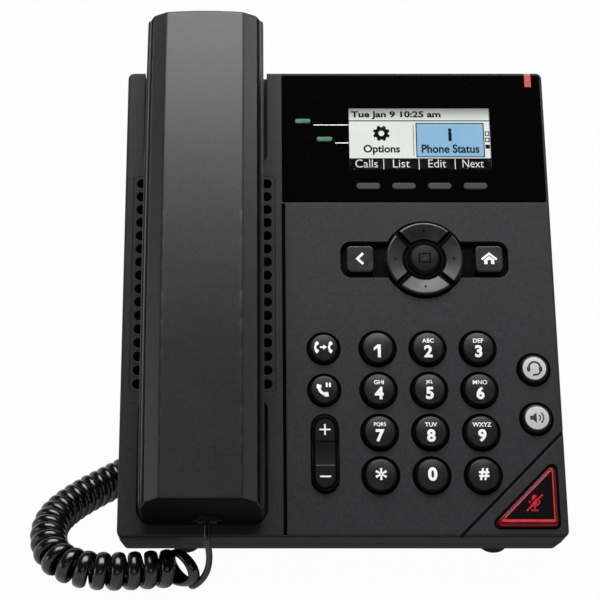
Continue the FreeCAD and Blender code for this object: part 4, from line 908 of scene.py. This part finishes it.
def dial_legends():
    letters = {"2": "ABC", "3": "DEF", "4": "GHI", "5": "JKL", "6": "MNO", "7": "PQRS", "8": "TUV", "9": "WXYZ"}
    signs = ["1", "2", "3", "4", "5", "6", "7", "8", "9", "star", "0", "pound"]
    for sign, middle in zip(signs, DIAL_PLACES):
        if sign == "star":
            faces = []
            for turn in range(90, 450, 60):
                faces += ribbon([spoke(0.25, turn), spoke(2.3, turn)], [0.5, 0.95])
        elif sign == "pound":
            faces = words("#", 4.6, 0.03)
        elif sign == "0":
            faces = words("0", 5.3, 0.042)
        elif sign == "1":
            faces = patch(-0.15, -4.2, 1.05, 0.95) + [[(-0.15, 0.95), (-1.65, -0.35), (-1.65, -1.45), (-0.15, -0.35)]]
        else:
            bold = 0.002 if sign == "6" else 0.014
            faces = words(sign, 4.9, 0.042, 0.0, -1.75) + words(letters[sign], 1.7, bold, 0.0, 2.55)
        printed("dial_legend_" + sign, faces, "dial_key_" + sign, WHITE_INK, middle, DIAL_TOP)


def call_legends():
    transfer = receiver(-1.15, 0.0, 3.5, 180) + receiver(4.2, 0.0, 3.5, 180)
    transfer += bar(-1.5, 0.0, 0.1, 0.0, 0.62) + [[(-0.25, 1.05), (-0.25, -1.05), (1.2, 0.0)]]
    printed("transfer_legend", transfer, "transfer_key", WHITE_INK, TRANSFER_PLACE, SIDE_TOP)
    hold = receiver(0.85, 0.75, 4.7, 222) + patch(0.55, 0.7, 1.25, 2.5) + patch(1.75, 0.7, 2.45, 2.5)
    printed("hold_legend", hold, "hold_key", WHITE_INK, HOLD_PLACE, SIDE_TOP)


def rocker_dish(x, y):
    """The rocker's top, dished between its two level ends."""
    return min(ROCKER_TOP, ROCKER_DISH_MID - math.sqrt(ROCKER_DISH_R ** 2 - y * y))


def rocker_legends():
    plus = patch(-2.1, 8.75, -0.3, 9.35) + patch(0.3, 8.75, 2.1, 9.35) + patch(-0.3, 6.95, 0.3, 11.15)
    minus = patch(-2.1, -9.5, 2.1, -8.9)
    # The rim round the rocker and the line along the top of its dish are painted shade; the pale line at the foot of
    # its dish is a painted highlight.
    rim = outline(capsule_at(0.0, 0.0, 8.5, 27.6)[0], 1.1) + patch(-3.7, 4.3, 3.7, 4.7)
    printed("rocker_rim_shade", rim, "volume", SHADE_AND_MARK_BLACK, ROCKER_PLACE, rocker_dish)
    printed("rocker_highlight", patch(-3.6, -5.1, 3.6, -4.7), "volume", FAINT_INK_AND_HIGHLIGHT, ROCKER_PLACE, rocker_dish)
    printed("rocker_legend", plus + minus, "volume", WHITE_INK, ROCKER_PLACE, level(ROCKER_TOP))


def lit_keys():
    headset = arc(0.0, 0.35, 2.15, -8, 188, 0.8)
    headset += capsule_at(-2.3, -0.35, 1.35, 2.1) + capsule_at(2.3, -0.35, 1.35, 2.1)
    headset += arc(0.35, -0.75, 1.9, -12, -88, 0.6) + patch(-0.75, -3.0, 0.45, -2.3)
    horn = patch(-2.75, -0.8, -1.75, 0.8) + [[(-1.75, -0.8), (-0.25, -2.1), (-0.25, 2.1), (-1.75, 0.8)]]
    horn += arc(-0.35, 0.0, 1.5, -48, 48, 0.5) + arc(-0.35, 0.0, 2.75, -48, 48, 0.5)
    for name, icon, middle in (("headset", headset, HEADSET_PLACE), ("speaker", horn, SPEAKER_PLACE)):
        body = name + "_key"
        printed(name + "_disc", disc(0, 0, 4.5, 48), body, DISC_GREY, middle, LIT_TOP, lift=0.05, deep=0.4)
        printed(name + "_legend", icon, body, DARK_INK, middle, LIT_TOP, lift=0.08, deep=0.1)


def mute_legend():
    mic = capsule_at(0.0, 1.35, 1.9, 3.9)
    mic += arc(0.0, 1.0, 1.95, 180, 360, 0.5) + patch(-0.25, -2.4, 0.25, -1.2) + patch(-1.3, -3.0, 1.3, -2.45)
    slash = bar(-3.1, -2.95, 3.2, 3.35, 0.62)
    gap = bar(-3.1, -2.6, 3.0, 3.5, 0.5)
    rim = patch(59.6, 5.45, 79.75, 6.35) + patch(79.33, 6.35, 79.75, 25.3) + bar(60.0, 6.1, 79.45, 25.55, 0.38)
    printed("mute_glow", rim, "mute", GLOW_RED, ORIGIN, MUTE_TOP, lift=0.02, deep=0.1)
    printed("mute_legend", mic, "mute", RED_INK, MUTE_PLACE, MUTE_TOP)
    printed("mute_gap", gap, "mute", MUTE_BLACK, (71.75, 12.95), MUTE_TOP, lift=0.05, deep=0.1)
    printed("mute_slash", slash, "mute", RED_INK, MUTE_PLACE, MUTE_TOP, lift=0.05, deep=0.1)


def side_legends():
    back = ribbon([(1.3, 2.25), (-1.0, 0.0), (1.3, -2.25)], [1.0, 1.35, 1.0])
    printed("back_legend", back, "back_key", WHITE_INK, BACK_PLACE, NAV_TOP)
    house = ribbon([(-2.95, -0.35), (0.0, 2.1), (2.95, -0.35)], [0.85, 1.1, 0.85])
    house += [
        [(-2.0, -2.3), (-0.75, -2.3), (-0.75, 0.45), (-2.0, -0.45)],
        [(0.75, -2.3), (2.0, -2.3), (2.0, -0.45), (0.75, 0.45)],
        [(-0.75, -0.6), (0.75, -0.6), (0.75, 0.45), (0.0, 1.1), (-0.75, 0.45)],
    ]
    printed("home_legend", house, "home_key", WHITE_INK, HOME_PLACE, NAV_TOP)
    mark = frame_line(-2.35, -2.0, 2.35, 2.0, 0.36)
    printed("select_mark", mark, "select_key", SHADE_AND_MARK_BLACK, SELECT_PLACE, SELECT_TOP)


def arrow_dots():
    inner, outer = ARROW_RING
    for name, x, y in (("up", 0, 1), ("down", 0, -1), ("left", -1, 0), ("right", 1, 0)):
        def slope(a, b, x=x, y=y):
            r = ARROW_DOT_R + a * x + b * y
            return ARROW_LOW + (r - inner) / (outer - inner) * ARROW_RISE

        middle = (PAD_X + x * ARROW_DOT_R, NAV_U + y * ARROW_DOT_R)
        dot = disc(0, 0, 0.42, 14)
        printed("arrow_dot_" + name, dot, "arrow_" + name, SHADE_AND_MARK_BLACK, middle, slope, lift=0.06, deep=0.3)


def painted_well_shade():
    """Painted shade: black seats round the keys and black floors in the grooves of the face."""
    sides = [TRANSFER_PLACE, HOLD_PLACE, HEADSET_PLACE, SPEAKER_PLACE]
    for name, places, r, deep in (("dial_well_shade", DIAL_PLACES, 7.0, 0.5), ("side_well_shade", sides, 6.3, 0.4)):
        rings = []
        for x, u in places:
            rings += arc(x, u, r + deep / 2, 0, 360, deep, 48)

        def cone(x, y, places=places, r=r, deep=deep):
            away = min(math.hypot(x - a, y - b) for a, b in places)
            return min(away - r - deep, 0.0)

        printed(name, rings, "base", SHADE_AND_MARK_BLACK, ORIGIN, cone, lift=0.02, deep=0.06, mesh_gap=0)
    edge = []
    for (x, u), start, stop in (((59.12, 5.2), 135, 270), ((79.7, 5.2), 270, 360), ((79.7, 25.78), 0, 135)):
        edge += [spoke(1.9, start + (stop - start) * k / 8, x, u) for k in range(9)]
    printed("mute_well_shade", outline(edge, 0.8), "base", SHADE_AND_MARK_BLACK, ORIGIN, level(0.0), lift=0.02, deep=0.06, mesh_gap=0)
    floor = patch(-22.25, 0.9, -20.95, 134.3)
    printed("groove_floor_shade", floor, "base", SHADE_AND_MARK_BLACK, ORIGIN, level(-1.5), lift=0.02, deep=0.05, mesh_gap=0)


def line_lamps():
    """The lit bars of the line keys, and the white lines from them to the screen."""
    for number, middle in (("1", (-13.5, 170.5)), ("2", (-4.7, 162.5))):
        printed("line_lamp_" + number, capsule(6.0, 1.65), "line_key_" + number, LAMP_GREEN, middle, LAMP_TOP,
                lift=0.02, deep=0.2, mesh_gap=0.5)
    lines = patch(-9.1, -0.19, 5.0, 0.19) + patch(-0.4, -8.14, 5.0, -7.76)
    printed("bezel_lines", lines, "base", WHITE_INK, (0.0, 168.95), level(0.0), lift=0.02, deep=0.05, mesh_gap=0)


# The screen's picture, by its edges and the edges of its strips
SCREEN_N = -0.985
SCREEN_LEFT = 5.4
SCREEN_RIGHT = 62.5
SCREEN_LOW = 149.55
SCREEN_HIGH = 176.3
STATUS_LOW = 171.4
NAMES_HIGH = 154.6
GEAR = (18.5, 165.6)


def screen_drawing():
    """The dark drawing: a gear, a letter, the names and edges of the cells, the date and three small squares."""
    drawn = arc(*GEAR, 2.0, 0, 360, 1.6, 40)
    for k in range(8):
        turn = 45 * k + 22.5
        drawn += bar(*spoke(2.6, turn, *GEAR), *spoke(3.45, turn, *GEAR), 1.25)
    drawn += frame_line(32.5, 155.0, 60.3, 170.3, 0.42)
    drawn += patch(SCREEN_LEFT, 170.95, SCREEN_RIGHT, STATUS_LOW) + patch(31.4, 155.6, 31.65, 169.6)
    drawn += words("i", 5.6, 0.04, 46.4, 165.0)
    drawn += words("Options", 4.5, 0.03, 18.5, 158.3, 14.8)
    drawn += words("Phone Status", 3.8, 0.026, 46.4, 158.8, 23.4)
    drawn += words("Tue Jan 9 10:25 am", 3.6, 0.036, 24.6, 173.7, 36.6)
    for u in (164.5, 161.7):
        drawn += frame_line(60.6, u, 62.4, u + 2.0, 0.4)
    return drawn + patch(60.6, 158.8, 62.4, 160.6)


def screen_names():
    """The pale names over the soft keys and the lines between them."""
    pale = []
    for x in (19.0, 33.3, 47.9):
        pale += patch(x, SCREEN_LOW, x + 0.3, 154.3)
    for text, x, wide in (("Calls", 12.2, 9.0), ("List", 26.3, 6.8), ("Edit", 40.8, 7.2), ("Next", 55.3, 8.6)):
        pale += words(text, 3.5, -0.006, x, 152.3, wide)
    return pale


def screen_picture():
    """The lit picture under the pane: a status strip, two cells and a strip of key names."""
    paper = screen_ink("screen_paper", shade(222, 229, 219), shade(236, 241, 232))
    strip = screen_ink("screen_strip", shade(140, 146, 140), shade(230, 236, 228), fade=(STATUS_LOW, SCREEN_HIGH))
    ink = screen_ink("screen_black", shade(4, 5, 6), shade(12, 14, 15))
    blue = screen_ink("screen_blue", shade(136, 182, 213), shade(148, 193, 223))
    layers = [
        ("screen_paper", patch(SCREEN_LEFT, SCREEN_LOW, SCREEN_RIGHT, SCREEN_HIGH), paper, 0.0),
        ("screen_strip", patch(SCREEN_LEFT, STATUS_LOW, SCREEN_RIGHT, SCREEN_HIGH), strip, 0.012),
        ("screen_cell", patch(32.9, 155.4, 59.9, 169.9), blue, 0.012),
        ("screen_base", patch(SCREEN_LEFT, SCREEN_LOW, SCREEN_RIGHT, NAMES_HIGH), ink, 0.012),
        ("screen_drawing", screen_drawing(), ink, 0.03),
        ("screen_names", screen_names(), paper, 0.03),
    ]
    for name, faces, finish, up in layers:
        printed(name, faces, "base", finish, ORIGIN, level(SCREEN_N), lift=up, deep=0.01, mesh_gap=0)


# The back of the base, in the same millimetres with x turned round, and the stand's leg, y down it from its top
BACK_N = -32.0
JACK_U = 48.0
PORT_SIGN_U = JACK_U + 11.5
NETWORK_X = (30.0, 50.0)
HANDSET_JACK_X = 10.0
HEADSET_JACK_X = -8.0
POWER_X = 68.5
CONTACT_PITCH = 1.02
CONTACT_HALF_W = 0.24
LEG_TOP = Vector((0.0, 39.345, 75.565))
LEG_TOE = Vector((0.0, 72.325, 3.0))
DOWN_LEG = (LEG_TOE - LEG_TOP).normalized()
OUT_LEG = Vector((0.0, -DOWN_LEG.z, DOWN_LEG.y))
RIB_PITCH = 18.0


def on_back(x, y, n):
    return on_face(-x, y, BACK_N - n)


def on_leg(x, y, n):
    return (LEG_TOP + Vector((x, 0.0, 0.0)) + DOWN_LEG * y + OUT_LEG * n) / 1000


def port_signs():
    """Plain signs beside the sockets: two for the network, a receiver, a headset and a supply."""
    desk = frame_line(-2.3, -1.0, 2.3, 2.2, 0.45) + patch(-0.3, -2.0, 0.3, -1.0) + patch(-1.3, -2.4, 1.3, -1.95)
    tree = patch(-0.8, 0.9, 0.8, 2.3) + patch(-0.2, -0.2, 0.2, 0.9) + patch(-2.2, -0.5, 2.2, -0.1)
    for x in (-2.2, 2.2):
        tree += patch(x - 0.8, -2.3, x + 0.8, -0.9) + patch(x - 0.2, -0.9, x + 0.2, -0.5)
    ears = arc(0.0, 0.2, 1.9, 0, 180, 0.5) + capsule_at(-1.95, -0.5, 1.0, 1.8) + capsule_at(1.95, -0.5, 1.0, 1.8)
    supply = arc(0.0, 0.0, 1.7, -130, 130, 0.45) + disc(0.0, 0.0, 0.7, 20) + bar(-2.9, 0.0, -1.1, 0.0, 0.4)
    signs = (
        ("desk", desk, NETWORK_X[0]),
        ("network", tree, NETWORK_X[1]),
        ("handset", receiver(-1.0, -1.0, 3.4, 45), HANDSET_JACK_X),
        ("headset", ears, HEADSET_JACK_X),
        ("supply", supply, POWER_X),
    )
    for name, faces, x in signs:
        printed("port_sign_" + name, faces, "base", FAINT_INK_AND_HIGHLIGHT, (-x, PORT_SIGN_U), level(0.0), lift=0.04, deep=0.1,
                mesh_gap=0, place=on_back, out=-OUT_FACE)


def contact_rise(x, y):
    """How far a contact stands off the socket's floor, more as it goes in."""
    return 0.12 + 0.09 * y


def socket_contacts():
    """Sprung gold contacts along the floor of each open socket."""
    rows = [(x, 8, -4.6) for x in NETWORK_X] + [(HEADSET_JACK_X, 4, -3.3)]
    for i, (x, count, floor) in enumerate(rows):
        strips = []
        for k in range(count):
            at = (k - (count - 1) / 2) * CONTACT_PITCH
            strips += patch(at - CONTACT_HALF_W, 1.6, at + CONTACT_HALF_W, 10.5)

        def in_socket(a, b, n, x=x, floor=floor):
            return on_face(x + a, JACK_U + floor + n, BACK_N + b)

        printed("socket_contacts_%d" % (i + 1), strips, "base", GOLD, ORIGIN, contact_rise, lift=0.0, deep=0.1,
                mesh_gap=1.5, place=in_socket, out=UP_FACE)


def leg_ribs():
    """Low ribs down the back of the stand's leg."""
    ribs = []
    for k in range(5):
        ribs += capsule_at(RIB_PITCH * (k - 2), 39.0, 2.6, 58.0)
    printed("leg_ribs", ribs, "base", HOUSING, ORIGIN, level(0.0), lift=0.8, deep=1.0, mesh_gap=0,
            place=on_leg, out=OUT_LEG)


def part_line():
    """The dark line round the base where its two shells meet."""
    corners = ((82.5, 190.0, 0), (-82.5, 190.0, 90), (-82.5, 2.5, 180), (82.5, 2.5, 270))
    section = ((2.55, -13.7), (2.55, -14.3), (2.2, -14.3), (2.2, -13.7))
    shape = bmesh.new()
    loops = []
    for x, u, start in corners:
        for turn in range(start, start + 91, 15):
            loops.append([shape.verts.new(on_face(*spoke(r, turn, x, u), n)) for r, n in section])
    skin(shape, loops + loops[:1])
    bmesh.ops.recalc_face_normals(shape, faces=shape.faces)
    mesh = mesh_of("part_line", shape)
    mesh.materials.append(SHADE_AND_MARK_BLACK)
    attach(shown("part_line", mesh), "base")


painted_well_shade()
part_line()
port_signs()
socket_contacts()
leg_ribs()
dial_legends()
call_legends()
rocker_legends()
lit_keys()
mute_legend()
side_legends()
arrow_dots()
line_lamps()
screen_picture()

FLOOR_R = 2.6
FLOOR_BEND_R = 0.9
FLOOR_SIDES = 64


def studio_white():
    """Matt white that camera, gloss and clear pieces see as plain white."""
    finish, coat = new_finish("studio_white")
    camera_ray = coat.add("LightPath")
    glossy_ray = camera_ray.beside(3)
    clear_ray = camera_ray.beside(6)
    seen = camera_ray.larger(glossy_ray).larger(clear_ray)
    matt = coat.add("BsdfDiffuse", None, {"Color": (0.34, 0.34, 0.34, 1.0)})
    white = coat.add("Emission", None, {"Color": (1.0, 1.0, 1.0, 1.0), "Strength": 1.0})
    mixed = coat.add("MixShader", None, {0: seen * 0.97, 1: matt, 2: white})
    coat.add("OutputMaterial", None, {"Surface": mixed})
    return finish


def studio():
    """A white floor that curves up into a wall far round the desk."""
    profile = [(FLOOR_R, 0.0)]
    for degrees in range(10, 91, 10):
        a = math.radians(degrees)
        profile.append((FLOOR_R + FLOOR_BEND_R * math.sin(a), FLOOR_BEND_R - FLOOR_BEND_R * math.cos(a)))
    profile.append((FLOOR_R + FLOOR_BEND_R, 1.0))
    shape = bmesh.new()
    turns = [2 * math.pi * k / FLOOR_SIDES for k in range(FLOOR_SIDES)]
    loops = []
    for r, z in profile:
        loops.append([shape.verts.new((r * math.cos(a), r * math.sin(a), z)) for a in turns])
    shape.faces.new(loops[0])
    skin(shape, loops[::-1])
    mesh = mesh_of("studio_floor", shape)
    mesh.shade_smooth()
    mesh.materials.append(studio_white())
    shown("studio_floor", mesh)


def soft_lamp(name, place, aim, wide, deep, watts):
    lamp = bpy.data.lights.new(name, "AREA")
    lamp.shape = "RECTANGLE"
    lamp.size = wide
    lamp.size_y = deep
    lamp.energy = watts
    holder = shown(name, lamp)
    holder.location = place
    holder.rotation_euler = (Vector(aim) - Vector(place)).to_track_quat("-Z", "Y").to_euler()


def lamps():
    soft_lamp("overhead", (0.0, 0.255, 1.05), (0.0, 0.21, 0.0), 0.9, 0.7, 20.5)
    soft_lamp("right_side", (1.0, 0.55, 0.6), (0.0, 0.05, 0.1), 0.35, 0.35, 2.2)
    soft_lamp("left_front", (-1.0, -0.3, 0.34), (0.0, 0.0, 0.08), 0.3, 0.25, 1.0)
    soft_lamp("front", (-0.1, -1.1, 0.75), (0.0, 0.0, 0.08), 0.6, 0.3, 0.95)
    world = bpy.data.worlds.new("room")
    world.use_nodes = True
    sky = world.node_tree.nodes["Background"].inputs
    sky["Color"].default_value = (1.0, 1.0, 1.0, 1.0)
    sky["Strength"].default_value = 0.035
    bpy.context.scene.world = world


studio()
lamps()
bpy.context.scene.view_settings.view_transform = "Standard"
